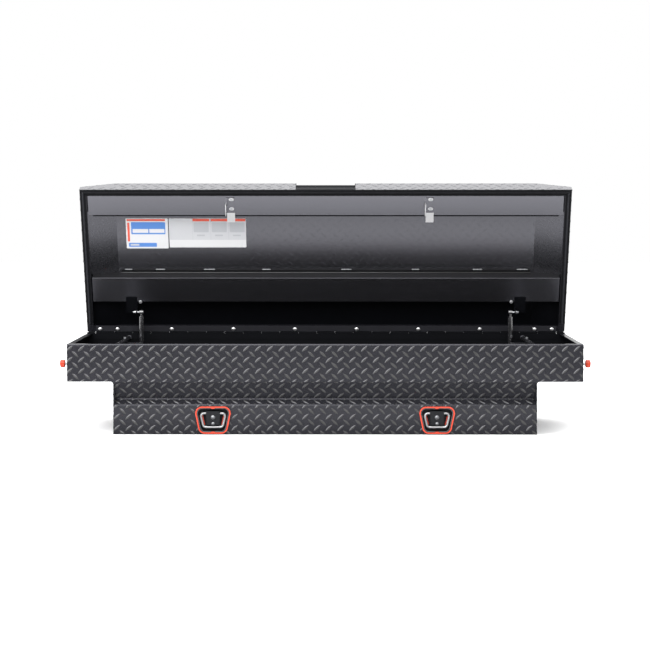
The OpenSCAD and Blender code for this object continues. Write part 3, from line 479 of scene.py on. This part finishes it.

# %% [markdown]
# A tie-down's frame is red on its face only. Its sides, and a hairline around the face that an inset makes, are
# black as painted shade along its edges, which sets the red off from the sheet.

# %% Painted shade on the edges of the tie-down frames
edge_shade_w = 0.0009
facing_front = -0.99
for name in ("left_tie_frame", "right_tie_frame"):
    piece = dressed(name)
    piece.data.materials.append(moulded_black)
    bm = bmesh.new()
    bm.from_mesh(piece.data)
    front = [face for face in bm.faces if face.normal.y < facing_front]
    for face in bm.faces:
        face.material_index = 1
    for face in front:
        face.material_index = 0
    edge = bmesh.ops.inset_region(bm, faces=front, thickness=edge_shade_w, use_even_offset=True)["faces"]
    for face in edge:
        face.material_index = 1
    bm.to_mesh(piece.data)
    bm.free()
    print(name, "faces", len(piece.data.polygons))

# %% [markdown]
# Under the lid, the skin between the channels takes the bowed coats. The rear channel's web is satin, so its fold
# shows as a light line. What lies behind that channel, the finger pull's part of the front skirt and the back of
# the mouth's flange get painted shade.

# %% Underside of the lid
facing_down = 0.5
sloped = 0.1
behind_web = 0.01
square_on = 0.99


def is_skin(at, normal):
    return normal.dot(under_lid) > facing_down and (to_closed @ at).y < rear_channel_y


lid_top = dressed("lid_top")
split(lid_top, lid_open @ Vector((0, rear_channel_y + behind_web, skin_z)), lid_rear)
repaint(lid_top, skin_coat, is_skin)
repaint(lid_top, slope_coat, lambda at, normal: is_skin(at, normal) and abs(normal.x) > sloped)
repaint(lid_top, painted_shade_coat, lambda at, normal: (
    normal.dot(under_lid) > facing_down and (to_closed @ at).y > rear_channel_y))
repaint(dressed("lid_rear_channel"), satin_coat, lambda at, normal: normal.dot(lid_rear) < -square_on)
front_skirt = dressed("lid_front_skirt")
for x in (-pull_half, pull_half):
    split(front_skirt, Vector((x, 0, 0)), Vector((1, 0, 0)))
repaint(front_skirt, painted_shade_coat, lambda at, normal: abs(at.x) < pull_half)
repaint(dressed("lid_front_flange"), painted_shade_coat, lambda at, normal: normal.dot(lid_rear) < -facing_in)

# %% [markdown]
# The seal's two sides are painted dark grey as painted light, lighter than its top. The hinge's knuckles lie in
# the gap under the lid and get painted shade; only the leaf beside them catches light.

# %% Seal and hinge
seal_side = lid_half - 0.03
knuckle_r = 0.006
repaint(dressed("lid_seal"), seal_side_light_rubber, lambda at, normal: abs(at.x) > seal_side)
repaint(dressed("hinge_lid_leaf"), painted_shade_coat, lambda at, normal: (
    math.hypot(at.y - hinge_at.y, at.z - hinge_at.z) < knuckle_r))

# %% [markdown]
# A striker is a bent plate that the latch hook catches. Its base is coated with the lid, and only the
# standing bar and the tail are bare zinc.

# %% Strikers
striker_in = 0.050
striker_l = 0.041
striker_bar_w = 0.003
striker_tail_y = front_y + striker_in + striker_l
for name in ("left_striker", "right_striker"):
    made = formed(name, fold_r=0.0008, edge_r=cut_r)
    split(made, lid_open @ Vector((0, striker_tail_y, lid_z)), lid_rear)
    bar_x = min((to_closed @ v.co).x for v in made.data.vertices) + striker_bar_w
    repaint(made, inner_coat, lambda at, normal: (
        (to_closed @ at).x > bar_x and (to_closed @ at).y < striker_tail_y))

# %% [markdown]
# The strut brackets get painted shade, and the ball studs and cone nuts on them are bare zinc. The studs are found
# by their distance from the studs' axis. The front edge of a tie-down's cup is painted grey as a painted
# highlight.

# %% Strut studs and tie-down cups
stud_at = hinge_at + Vector((0, -0.094, -0.020))
stud_r = 0.0075
cup_lip = 0.004
half_front = 0.5
for name in ("left_strut_bracket", "right_strut_bracket"):
    repaint(dressed(name), zinc_plate, lambda at, normal: (
        math.hypot((to_closed @ at).y - stud_at.y, (to_closed @ at).z - stud_at.z) < stud_r
        and abs(normal.x) < square_on))
for name in ("left_tie_cup", "right_tie_cup"):
    repaint(dressed(name), cup_edge_highlight, lambda at, normal: normal.y < -half_front and at.y < front_y + cup_lip)

# %% [markdown]
# ## Tread lugs
# Tread plate is rolled with raised lugs in two directions: rows that lean right alternate with rows
# that lean left, half a pitch along. They could be a bump map, but the light catches their flanks,
# so they are real shapes. One lens-shaped lug is made from a circle, raised to a smaller crest, and
# laid over each sheet. A lug that crosses a sheet's edge is cut there, as in the rolled plate.

# %% One lug
lug_l = 0.034
lug_w = 0.0105
lug_h = 0.0013
skirt_lug_h = 0.0007
hump_h = 0.00011
lug_lean = math.radians(42)
lug_sink = 0.0003
lug_sides = 14
crest_l = 0.74
crest_w = 0.3


def lug_mesh(height, lean):
    bm = bmesh.new()
    bmesh.ops.create_circle(bm, cap_ends=True, segments=lug_sides, radius=1)
    for vert in bm.verts:
        side = vert.co.y
        vert.co.x *= lug_l / 2
        vert.co.y = side * abs(side) * lug_w / 2
        vert.co.z = -lug_sink
    base = bm.faces[:]
    raised = bmesh.ops.extrude_face_region(bm, geom=base, use_keep_orig=True)["geom"]
    crest = [item for item in raised if isinstance(item, bmesh.types.BMVert)]
    bmesh.ops.scale(bm, vec=(crest_l, crest_w, 1), verts=crest)
    bmesh.ops.translate(bm, vec=(0, 0, height + lug_sink), verts=crest)
    bmesh.ops.recalc_face_normals(bm, faces=bm.faces)
    bmesh.ops.rotate(bm, matrix=Matrix.Rotation(lean, 3, "Z"), verts=bm.verts)
    mesh = bpy.data.meshes.new("lug")
    bm.to_mesh(mesh)
    bm.free()
    return mesh


lugs = {
    (height, lean): lug_mesh(height, lean)
    for height in (lug_h, skirt_lug_h, hump_h)
    for lean in (lug_lean, -lug_lean)
}
print("lug faces:", len(lugs[lug_h, lug_lean].polygons))

# %% [markdown]
# A sheet is given by a corner and two directions, and its lugs stand out along their cross product. The
# rows start outside the sheet, so that its edges cut lugs, which an array modifier couldn't do.

# %% Where a sheet lies and where its rows start
pitch_u = 0.0415
pitch_v = 0.0394


def sheet_place(corner, along_u, along_v):
    u = Vector(along_u).normalized()
    v = Vector(along_v).normalized()
    turn = Matrix((u, v, u.cross(v))).transposed().to_4x4()
    return Matrix.Translation(Vector(corner)) @ turn


def row_places(first, pitch, length):
    start = first - math.ceil((first + pitch) / pitch) * pitch
    count = math.ceil((length - start + pitch) / pitch)
    return [start + i * pitch for i in range(count)]


print("rows on a 0.1 m sheet:", len(row_places(0.01, pitch_v, 0.1)))


# %% Lay lugs over a sheet
def trim(bm, at, outward):
    cut = bmesh.ops.bisect_plane(bm, geom=bm.verts[:] + bm.edges[:] + bm.faces[:], plane_co=at,
                                 plane_no=outward, clear_outer=True)["geom_cut"]
    edges = [item for item in cut if isinstance(item, bmesh.types.BMEdge)]
    if edges:
        bmesh.ops.holes_fill(bm, edges=edges, sides=0)


def cuts_near(middle, size, keep_off):
    """The planes that cut a lug: those of the sheet's edges, and one side of an outline it meets."""
    edges = [((0, 0, 0), (-1, 0, 0)), ((size[0], 0, 0), (1, 0, 0)),
             ((0, 0, 0), (0, -1, 0)), ((0, size[1], 0), (0, 1, 0))]
    cuts = [(at, outward) for at, outward in edges if (Vector(at) - middle).dot(outward) < lug_l / 2]
    for outline in keep_off:
        out, at, inward = max(
            ((middle - Vector(at)).dot(-Vector(inward)), at, inward) for at, inward in outline)
        if out < lug_l / 2:
            cuts.append((at, inward))
    return cuts


def lay_lugs(bm, corner, along_u, along_v, size, first, height=lug_h, keep_off=()):
    """Lugs over a sheet from its corner to size, with a right-leaning lug's middle at first."""
    place = sheet_place(corner, along_u, along_v)
    scratch = bpy.data.meshes.new("scratch")
    for lean, shift in ((lug_lean, 0), (-lug_lean, 0.5)):
        for u in row_places(first[0] + shift * pitch_u, pitch_u, size[0]):
            for v in row_places(first[1] + shift * pitch_v, pitch_v, size[1]):
                lug = bmesh.new()
                lug.from_mesh(lugs[height, lean])
                bmesh.ops.translate(lug, vec=(u, v, 0), verts=lug.verts)
                for at, outward in cuts_near(Vector((u, v, 0)), size, keep_off):
                    if lug.verts:
                        trim(lug, at, outward)
                if lug.verts:
                    bmesh.ops.transform(lug, matrix=place, verts=lug.verts)
                    lug.to_mesh(scratch)
                    bm.from_mesh(scratch)
                lug.free()
    bpy.data.meshes.remove(scratch)


# %% [markdown]
# The tie-downs' frames cover some of the front's lugs, and those are cut along the frame. A frame is a
# four-sided outline, wider at the top. Each side is a point on it and the way into the frame.

# %% Outline of a tie-down
tie_x = 0.3945
tie_z = 0.051
tie_half_h = 0.0492
tie_top_half = 0.069
tie_bottom_half = 0.049
frame_mid = 0.0035
tie_corners = [(-tie_bottom_half, -tie_half_h), (tie_bottom_half, -tie_half_h),
               (tie_top_half, tie_half_h), (-tie_top_half, tie_half_h)]


def tie_outline(middle_x):
    lines = []
    for i, (x0, z0) in enumerate(tie_corners):
        x1, z1 = tie_corners[(i + 1) % 4]
        inward = Vector((z0 - z1, x1 - x0, 0)).normalized()
        at = Vector((x0 + middle_x, z0 + tie_z, 0)) + frame_mid * inward
        lines.append((tuple(at), tuple(inward)))
    return lines


lower_ties = [tie_outline(well_half - tie_x), tie_outline(well_half + tie_x)]
print("sides of a tie-down:", len(lower_ties[0]))

# %% [markdown]
# The front is one folded sheet, so its lugs run in the same columns from the rim down through the
# groove. They stop just short of the folds, where the bend has flattened them.

# %% Lugs on the front
to_right = (1, 0, 0)
to_back = (0, 1, 0)
upward = (0, 0, 1)
edge_gap = 0.003
fold_gap = 0.002
column = 0.0086
well_column = column + well_half - half_w
top_row = 0.016
slope_row = 0.0155
low_row = 0.023
wing_face = rim_z - wing_z - edge_gap
lug_turn = math.radians(18)
slope = Vector((0, -groove_depth, wing_z - groove_z))
ledge = Vector((0, groove_depth, groove_z - ledge_z))
ledge_start = Vector((-well_half, front_y, ledge_z)) + fold_gap * ledge.normalized()
ledge_row = ledge.length / 2 + pitch_v / 2 - fold_gap
bm = bmesh.new()
lay_lugs(bm, (-half_w, front_y, wing_z), to_right, upward,
         (2 * half_w, wing_face), (column, rim_z - wing_z - top_row))
lay_lugs(bm, (-well_half, front_y + groove_depth, groove_z), to_right, slope,
         (2 * well_half, slope.length), (well_column, slope.length - slope_row))
lay_lugs(bm, ledge_start, to_right, ledge,
         (2 * well_half, ledge.length - fold_gap), (well_column + pitch_u / 2, ledge_row))
lay_lugs(bm, (-well_half, front_y, 0), to_right, upward,
         (2 * well_half, ledge_z - fold_gap), (well_column, low_row), keep_off=lower_ties)
make_piece("front_tread_lugs", bm, "body", lug_highlight_coat, lug_turn)

# %% [markdown]
# The back and the ends are the same plate, and their rows start near the lower edge of each sheet.

# %% Lugs on the back, the ends and the well's ends
to_left = (-1, 0, 0)
first_row = 0.01
bm = bmesh.new()
lay_lugs(bm, (half_w, rear_y, wing_z), to_left, upward, (2 * half_w, wing_face), (column, first_row))
lay_lugs(bm, (well_half, rear_y, 0), to_left, upward, (2 * well_half, wing_z), (well_column, first_row))
make_piece("rear_tread_lugs", bm, "body", lug_highlight_coat, lug_turn)
bm = bmesh.new()
for side, corner_y in ((1, front_y), (-1, rear_y)):
    lay_lugs(bm, (side * half_w, corner_y, wing_z), (0, side, 0), upward,
             (deep, wing_face), (column, first_row))
    lay_lugs(bm, (side * well_half, corner_y, 0), (0, side, 0), upward,
             (deep, wing_z - edge_gap), (column, first_row))
make_piece("end_tread_lugs", bm, "body", lug_highlight_coat, lug_turn)

# %% [markdown]
# The lid is tread plate too. Its top has a flat and two slopes, and the finger pull is cut out of the
# flat's front edge.

# %% Lugs on the lid
def open_lid(bm):
    bmesh.ops.transform(bm, matrix=lid_open, verts=bm.verts)


pull_cut = 0.013
lid_row = 0.012
slope_l = math.hypot(lid_slope_w, fall)
beside_pull = ((-flat_half, -pull_half), (pull_half, flat_half))
bm = bmesh.new()
lay_lugs(bm, (-flat_half, front_y + pull_cut, lid_top_z), to_right, to_back,
         (2 * flat_half, deep - pull_cut), (column, lid_row))
for start, end in beside_pull:
    lay_lugs(bm, (start, front_y, lid_top_z), to_right, to_back,
             (end - start, pull_cut), (column - flat_half - start, lid_row + pull_cut))
lay_lugs(bm, (flat_half, front_y, lid_top_z), (lid_slope_w, 0, -fall), to_back,
         (slope_l, deep), (column, lid_row))
lay_lugs(bm, (-lid_half, front_y, lid_z + lid_end_h), (lid_slope_w, 0, fall), to_back,
         (slope_l, deep), (column, lid_row))
open_lid(bm)
make_piece("lid_tread_lugs", bm, "lid", lug_highlight_coat, lug_turn)

# %% [markdown]
# The lid's skirts are low, so they carry a row or so of lugs, flatter than the others. The front and the
# rear skirt have a lower strip from end to end and an upper strip under the flat.

# %% Lugs on the lid's skirts
skirt_corner = 0.03
skirt_row = 0.016
upper_row = skirt_row + pitch_v - lid_end_h
end_skirt_row = 0.008
strip_h = fall - edge_gap
bm = bmesh.new()
for start, end in ((-lid_half + skirt_corner, -pull_half), (pull_half, lid_half - skirt_corner)):
    lay_lugs(bm, (start, front_y, lid_z), to_right, upward,
             (end - start, lid_end_h), (column, skirt_row), skirt_lug_h)
for start, end in beside_pull:
    lay_lugs(bm, (start, front_y, lid_z + lid_end_h), to_right, upward,
             (end - start, strip_h), (column, upper_row), skirt_lug_h)
lay_lugs(bm, (lid_half - skirt_corner, rear_y, lid_z), to_left, upward,
         (2 * lid_half - 2 * skirt_corner, lid_end_h), (column, skirt_row), skirt_lug_h)
lay_lugs(bm, (flat_half, rear_y, lid_z + lid_end_h), to_left, upward,
         (2 * flat_half, strip_h), (column, upper_row), skirt_lug_h)
for side, corner_y in ((1, front_y), (-1, rear_y)):
    lay_lugs(bm, (side * lid_half, corner_y, lid_z), (0, side, 0), upward,
             (deep, lid_end_h - edge_gap), (column, end_skirt_row), skirt_lug_h)
open_lid(bm)
make_piece("lid_skirt_lugs", bm, "lid", tread_coat, lug_turn)

# %% [markdown]
# Inside the lid the rolled pattern only shows as faint humps that ripple the skin's reflections.

# %% Humps under the lid
bm = bmesh.new()
lay_lugs(bm, (-flat_half, rear_channel_y, skin_z), to_right, (0, -1, 0),
         (2 * flat_half, rear_channel_y - front_channel_end), (column, lid_row), hump_h)
open_lid(bm)
make_piece("lid_inner_humps", bm, "lid", skin_coat)

# %% [markdown]
# ## Stitch welds
# The channels are stitch welded to the lid's skin. Along the rear channel the welds are bare and glint; along the
# front channel they are coated and get painted shade. Each is a line of flattened, overlapping beads that vary a
# little, as a hand leaves them.

# %% Stitch welds
ripples = 5
shortest = 0.8
length_spread = 0.4
flattest = 0.75
height_spread = 0.25
bare_weld_x = (-0.746, -0.625, -0.440, -0.224, 0.078, 0.339, 0.573, 0.743)
coated_weld_x = (-0.745, -0.552, -0.315, -0.052, 0.2365, 0.458, 0.7245)


def weld_beads(name, xs, y, z, size, material):
    bm = bmesh.new()
    for i, x in enumerate(xs):
        long = size[0] * (shortest + length_spread * ((i * 7) % 5) / 4)
        for j in range(ripples):
            plump = flattest + height_spread * ((i * 3 + j * 2) % 4) / 3
            bead = bmesh.ops.create_icosphere(bm, subdivisions=2, radius=1)["verts"]
            bmesh.ops.scale(bm, vec=(long / ripples, plump * size[1] / 2, plump * size[2] / 2), verts=bead)
            bmesh.ops.translate(bm, vec=(x + (j / (ripples - 1) - 0.5) * long, y, z), verts=bead)
    open_lid(bm)
    make_piece(name, bm, "lid", material)


flange_w = 0.0095
bare_weld_drop = 0.001
coated_weld_in = 0.001
coated_weld_rise = 0.003
weld_beads("rear_channel_welds", bare_weld_x, rear_channel_y - flange_w, skin_z - bare_weld_drop,
           (0.026, 0.0055, 0.005), weld_metal)
weld_beads("front_channel_welds", coated_weld_x, front_channel_end + coated_weld_in,
           lid_z + coated_weld_rise, (0.018, 0.006, 0.006), painted_shade_coat)

# %% [markdown]
# ## Small parts
# Small parts start from a block or a disc. A sharp mathematical edge would never catch the light, so
# each part's edges are eased by a few tenths of a millimetre, as coating and wear do.

# %% Blocks, discs and eased edges
sharp_edge = math.radians(50)


def add_block(bm, middle, size):
    block = bmesh.ops.create_cube(bm, size=1)["verts"]
    bmesh.ops.scale(bm, vec=size, verts=block)
    bmesh.ops.translate(bm, vec=middle, verts=block)
    return block


def add_disc(bm, middle, radius, depth, sides, narrow=1):
    disc = bmesh.ops.create_cone(bm, cap_ends=True, segments=sides, radius1=radius, radius2=radius,
                                 depth=depth)["verts"]
    bmesh.ops.scale(bm, vec=(1, narrow, 1), verts=disc)
    bmesh.ops.translate(bm, vec=middle, verts=disc)


def ease_edges(bm, radius):
    sharp = [edge for edge in bm.edges if edge.calc_face_angle(0.0) > sharp_edge]
    round_off(bm, sharp, radius, edge_steps)


print("edges eased above a turn of", round(math.degrees(sharp_edge)), "degrees")

# %% [markdown]
# The front channel ends in a narrow lip, which gets painted shade for the dark line on the skin under it.

# %% Lip of the front channel
lip_w = 0.0042
lip_t = 0.002
lip_end = 0.045
bm = bmesh.new()
add_block(bm, (0, front_channel_end + lip_w / 2, lid_z + lip_t / 2),
          (2 * lid_half - 2 * lip_end, lip_w, lip_t))
open_lid(bm)
ease_edges(bm, 0.0005)
make_piece("front_channel_shade_lip", bm, "lid", painted_shade_coat)

# %% [markdown]
# The rear channel has a narrow flange on the skin, and the stitch welds are along the flange's edge.
# A thin bead of coat runs along the channel's web below it, painted lighter as a painted highlight so that it
# shows as a light line.

# %% Flange of the rear channel
flange_t = 0.0015
flange_end = 0.01
flange_l = 2 * flat_half - 2 * flange_end
bead_r = 0.0016
bead_sides = 10
bead_out = 0.001
bead_drop = 0.011
bm = bmesh.new()
add_block(bm, (0, rear_channel_y - flange_w / 2, skin_z - flange_t / 2), (flange_l, flange_w, flange_t))
bead = bmesh.ops.create_cone(bm, cap_ends=True, segments=bead_sides, radius1=bead_r, radius2=bead_r,
                             depth=flange_l, matrix=Matrix.Rotation(math.pi / 2, 4, "Y"))["verts"]
bmesh.ops.translate(bm, vec=(0, rear_channel_y - bead_out, skin_z - bead_drop), verts=bead)
open_lid(bm)
ease_edges(bm, 0.0004)
flange = make_piece("rear_channel_flange", bm, "lid", satin_coat)
repaint(flange, lug_highlight_coat, lambda at, normal: (to_closed @ at).z < skin_z - bead_drop / 2)

# %% [markdown]
# A hexagon bolt with a washer holds each strut's bracket to the rear channel's edge.

# %% Bolts of the strut brackets
bolt_x = 0.700
bolt_y = hinge_at.y - 0.126
round_sides = 24
hexagon = 6
bracket_washer_r = 0.0065
bracket_washer_t = 0.0012
head_r = 0.0052
head_h = 0.0038
head_z = lid_z - bracket_washer_t - head_h / 2
bm = bmesh.new()
for x in (-bolt_x, bolt_x):
    add_disc(bm, (x, bolt_y, lid_z - bracket_washer_t / 2), bracket_washer_r, bracket_washer_t, round_sides)
    add_disc(bm, (x, bolt_y, head_z), head_r, head_h, hexagon)
open_lid(bm)
ease_edges(bm, 0.0003)
make_piece("strut_bracket_bolts", bm, "lid", striker_zinc)

# %% [markdown]
# The bolts of a striker sit in slots, so that it can be set to the latch. An oblong zinc washer under
# each head covers the slot.

# %% Washers of the strikers
striker_bolt_x = (-0.3475, 0.3875)
striker_bolt_y = (front_y + 0.038, front_y + 0.075)
plate_t = 0.003
washer_sides = 28
washer_r = 0.0092
washer_narrow = 0.66
washer_t = 0.0012
bm = bmesh.new()
for x in striker_bolt_x:
    for y in striker_bolt_y:
        add_disc(bm, (x, y, lid_z - plate_t - washer_t / 2), washer_r, washer_t, washer_sides, washer_narrow)
open_lid(bm)
ease_edges(bm, 0.0003)
make_piece("striker_washers", bm, "lid", striker_zinc)

# %% [markdown]
# Beyond the hinge's ends a rubber bead on the rear sheet closes the gap under the lid. It stays inside
# the circle that the lid's mouth turns about, so the lid never touches it.

# %% Rubber beads beside the hinge
bead_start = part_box("hinge_pin")[1].x + 0.0002
bead_end = half_w - 0.006
bead_bottom = rim_z + 0.0008
bead_top = hinge_at.z + 0.0034
bead_t = 0.0015
bead_y = hinge_at.y - 0.00085
bm = bmesh.new()
for side in (-1, 1):
    add_block(bm, (side * (bead_start + bead_end) / 2, bead_y, (bead_top + bead_bottom) / 2),
              (bead_end - bead_start, bead_t, bead_top - bead_bottom))
ease_edges(bm, 0.0004)
make_piece("hinge_end_beads", bm, "body", seal_rubber)

# %% [markdown]
# The sheet at each end of the well closes the groove, and its front edge is turned in a few millimetres.

# %% Turned edges at the groove's ends
turned_w = 0.0045
turned_t = 0.0015
turned_in = 0.0001
bm = bmesh.new()
for side in (-1, 1):
    add_block(bm, (side * (well_half - turned_w / 2), front_y + turned_t / 2 + turned_in,
                   (wing_z + ledge_z) / 2), (turned_w, turned_t, wing_z - ledge_z))
ease_edges(bm, 0.0006)
make_piece("groove_end_edges", bm, "body", tread_coat)

# %% [markdown]
# Two red strips lie behind each tie-down's ring, along its leaning sides.

# %% Red strips in the tie-downs
ring_top_half = 0.0455
ring_bottom_half = 0.034
ring_h = 0.049
ring_bar_r = 0.0044
ring_pivot_z = tie_z + tie_half_h - 0.026
ring_lean = math.atan2(ring_top_half - ring_bottom_half, ring_h)
red_strip = (0.006, 0.002, 0.036)
red_strip_y = front_y + 0.0125
inner_x = (ring_top_half + ring_bottom_half) / 2 - ring_bar_r
bm = bmesh.new()
for middle in (-tie_x, tie_x):
    for side in (-1, 1):
        strip = add_block(bm, (0, 0, 0), red_strip)
        bmesh.ops.rotate(bm, matrix=Matrix.Rotation(side * ring_lean, 3, "Y"), verts=strip)
        bmesh.ops.translate(bm, vec=(middle + side * inner_x, red_strip_y, ring_pivot_z - ring_h / 2),
                            verts=strip)
ease_edges(bm, 0.0006)
make_piece("tie_red_strips", bm, "body", signal_red)

# %% [markdown]
# ## Label plates
# Two vinyl labels are stuck inside the lid. Each is a thin sheet with rounded corners and a few plain
# printed fields, which are thinner sheets of their own, so each has its own finish.

# %% A sheet of vinyl
vinyl_t = 0.0002
small_r = 0.001
corner_steps = 4


def vinyl(name, x0, x1, y0, y1, lift, colour, corner_r=0.003):
    bm = bmesh.new()
    bmesh.ops.create_grid(bm, x_segments=1, y_segments=1, size=0.5)
    bmesh.ops.scale(bm, vec=(x1 - x0, y1 - y0, 1), verts=bm.verts)
    bmesh.ops.bevel(bm, geom=bm.verts[:], offset=corner_r, segments=corner_steps, profile=0.5,
                    affect="VERTICES", material=-1)
    bmesh.ops.translate(bm, vec=((x0 + x1) / 2, (y0 + y1) / 2, skin_z - lift), verts=bm.verts)
    bmesh.ops.solidify(bm, geom=bm.faces[:], thickness=vinyl_t)
    bmesh.ops.recalc_face_normals(bm, faces=bm.faces)
    open_lid(bm)
    make_piece(name, bm, "lid", vinyls[colour])


# %% Left label
label_lift = 0.0008
field_lift = 0.0011
box_lift = 0.0014
vinyl("left_label", -0.7485, -0.5910, -0.1512, -0.0295, label_lift, "white")
vinyl("left_label_field", -0.7290, -0.6010, -0.1363, -0.0871, field_lift, "blue")
vinyl("left_label_box", -0.7238, -0.6652, -0.1085, -0.0931, box_lift, "white", small_r)
vinyl("left_label_box", -0.6609, -0.6045, -0.1085, -0.0931, box_lift, "white", small_r)
vinyl("left_label_band", -0.7445, -0.6010, -0.1485, -0.1405, field_lift, "red", small_r)
vinyl("left_label_band", -0.7429, -0.7350, -0.1340, -0.0578, field_lift, "red", small_r)
vinyl("left_label_foot", -0.7398, -0.6348, -0.0523, -0.0360, field_lift, "blue")
vinyl("left_label_box", -0.7333, -0.7008, -0.0476, -0.0411, box_lift, "pale", small_r)

# %% [markdown]
# The right label has three equal columns of a rule, a band, a field and a line, so one loop makes them.

# %% Right label
column_starts = (-0.4980, -0.4302, -0.3630)
column_top = -0.1500
rule_r = 0.0002
vinyl("right_label", -0.5870, -0.2985, -0.1512, -0.0335, label_lift, "white")
vinyl("right_label_head", -0.5860, -0.2995, -0.1502, -0.0645, field_lift, "pale", small_r)
for start in column_starts:
    vinyl("right_label_rule", start - 0.0012, start - 0.0002, column_top, -0.0650, box_lift, "grey", rule_r)
    vinyl("right_label_band", start, start + 0.0625, column_top, -0.1398, box_lift, "red", small_r)
    vinyl("right_label_field", start + 0.003, start + 0.0595, -0.1360, -0.0955, box_lift, "grey")
    vinyl("right_label_foot", start + 0.015, start + 0.0445, -0.0860, -0.0797, box_lift, "grey", small_r)

# %% [markdown]
# ## Studio
# A pale floor stands for the white paper sweep and keeps the box's shadow. The camera sees it brighter
# with distance, so that it runs into the white background without a line. Mirror-like rays see it dimmer,
# because the coats in the photograph mirror little of it.

# %% Floor
floor_half = 20
floor_drop = 0.0005
glow_near = 1.2
glow_far = 4.0
floor_bm = bmesh.new()
bmesh.ops.create_grid(floor_bm, x_segments=1, y_segments=1, size=floor_half)
floor_mesh = bpy.data.meshes.new("studio_floor")
floor_bm.to_mesh(floor_mesh)
floor_bm.free()
floor = bpy.data.objects.new("studio_floor", floor_mesh)
floor.location.z = -floor_drop
bpy.context.scene.collection.objects.link(floor)

paper = bpy.data.materials.new("White paper sweep")
paper.use_nodes = True
tree = paper.node_tree
tree.nodes.clear()
path = add_node(tree, "ShaderNodeLightPath", {})
matt = add_node(tree, "ShaderNodeBsdfDiffuse", {"Color": linear("#f4f4f4")})
coords = add_node(tree, "ShaderNodeTexCoord", {})
away = add_node(tree, "ShaderNodeVectorMath", {0: coords.outputs["Object"]}, operation="LENGTH")
lift = add_node(tree, "ShaderNodeMapRange", {
    "Value": away.outputs["Value"], "From Min": glow_near, "From Max": glow_far,
    "To Min": 0.3, "To Max": 0.8})
glow = add_node(tree, "ShaderNodeEmission", {"Color": linear("#ffffff"), "Strength": lift.outputs[0]})
both = add_node(tree, "ShaderNodeAddShader", {0: matt.outputs[0], 1: glow.outputs[0]})
seen = add_node(tree, "ShaderNodeMixShader",
                {0: path.outputs["Is Camera Ray"], 1: matt.outputs[0], 2: both.outputs[0]})
dim = add_node(tree, "ShaderNodeBsdfDiffuse", {"Color": linear("#8a8a8c")})
mixed = add_node(tree, "ShaderNodeMixShader",
                 {0: path.outputs["Is Glossy Ray"], 1: seen.outputs[0], 2: dim.outputs[0]})
add_node(tree, "ShaderNodeOutputMaterial", {"Surface": mixed.outputs[0]})
floor_mesh.materials.append(paper)
print("floor", 2 * floor_half, "m wide")

# %% [markdown]
# The camera sees the world as pure white. It lights the box softly, and the coats mirror it brighter
# towards the back of the studio than towards the camera.

# %% World
soft_level = 0.4
mirror_front = 0.45
mirror_back = 1.0
world = bpy.data.worlds.new("white_studio")
bpy.context.scene.world = world
world.use_nodes = True
tree = world.node_tree
tree.nodes.clear()
path = add_node(tree, "ShaderNodeLightPath", {})
coords = add_node(tree, "ShaderNodeTexCoord", {})
way = add_node(tree, "ShaderNodeSeparateXYZ", {0: coords.outputs["Generated"]})
mirrored = add_node(tree, "ShaderNodeMapRange", {
    "Value": way.outputs["Y"], "From Min": -0.9, "From Max": 0.1,
    "To Min": mirror_front, "To Max": mirror_back})
lit = add_node(tree, "ShaderNodeMix",
               {0: path.outputs["Is Glossy Ray"], 2: soft_level, 3: mirrored.outputs[0]})
seen = add_node(tree, "ShaderNodeMath",
                {0: path.outputs["Is Camera Ray"], 1: path.outputs["Is Transmission Ray"]},
                operation="MAXIMUM")
level = add_node(tree, "ShaderNodeMix", {0: seen.outputs[0], 2: lit.outputs[0], 3: 1.0})
sky = add_node(tree, "ShaderNodeBackground", {"Color": linear("#ffffff"), "Strength": level.outputs[0]})
add_node(tree, "ShaderNodeOutputWorld", {"Surface": sky.outputs[0]})
print("world level", soft_level)

# %% [markdown]
# A wide soft light hangs over the box, and a second one fills the front from the left. A low card of
# light lies on the floor before the box: the lid's inner faces, the groove and the flanks of the lugs
# mirror it. Two narrow strips at the sides give the ends a thin line of light.

# %% Lights
def soft_light(name, at, aim, size, watts):
    light = bpy.data.lights.new(name, "AREA")
    light.shape = "RECTANGLE"
    light.size, light.size_y = size
    light.energy = watts
    lamp = bpy.data.objects.new(name, light)
    lamp.location = at
    lamp.rotation_euler = (Vector(aim) - Vector(at)).to_track_quat("-Z", "Y").to_euler()
    bpy.context.scene.collection.objects.link(lamp)


soft_light("overhead_softbox", (0, 0.9, 3.4), (0, 0.5, 0.5), (6.0, 4.6), 270)
soft_light("key_softbox", (-1.3, -2.9, 2.6), (0, -0.3, 0.3), (6.4, 3.0), 250)
soft_light("floor_card", (0, -0.95, 0.01), (0, -0.91, 1.0), (4.0, 1.2), 18.5)
for side in (-1, 1):
    soft_light("side_strip", (side * 2.4, -0.35, 0.7), (0, 0.1, 0.4), (0.35, 1.3), 6)
bpy.context.scene.view_settings.view_transform = "Standard"
print("lights:", len(bpy.data.lights))
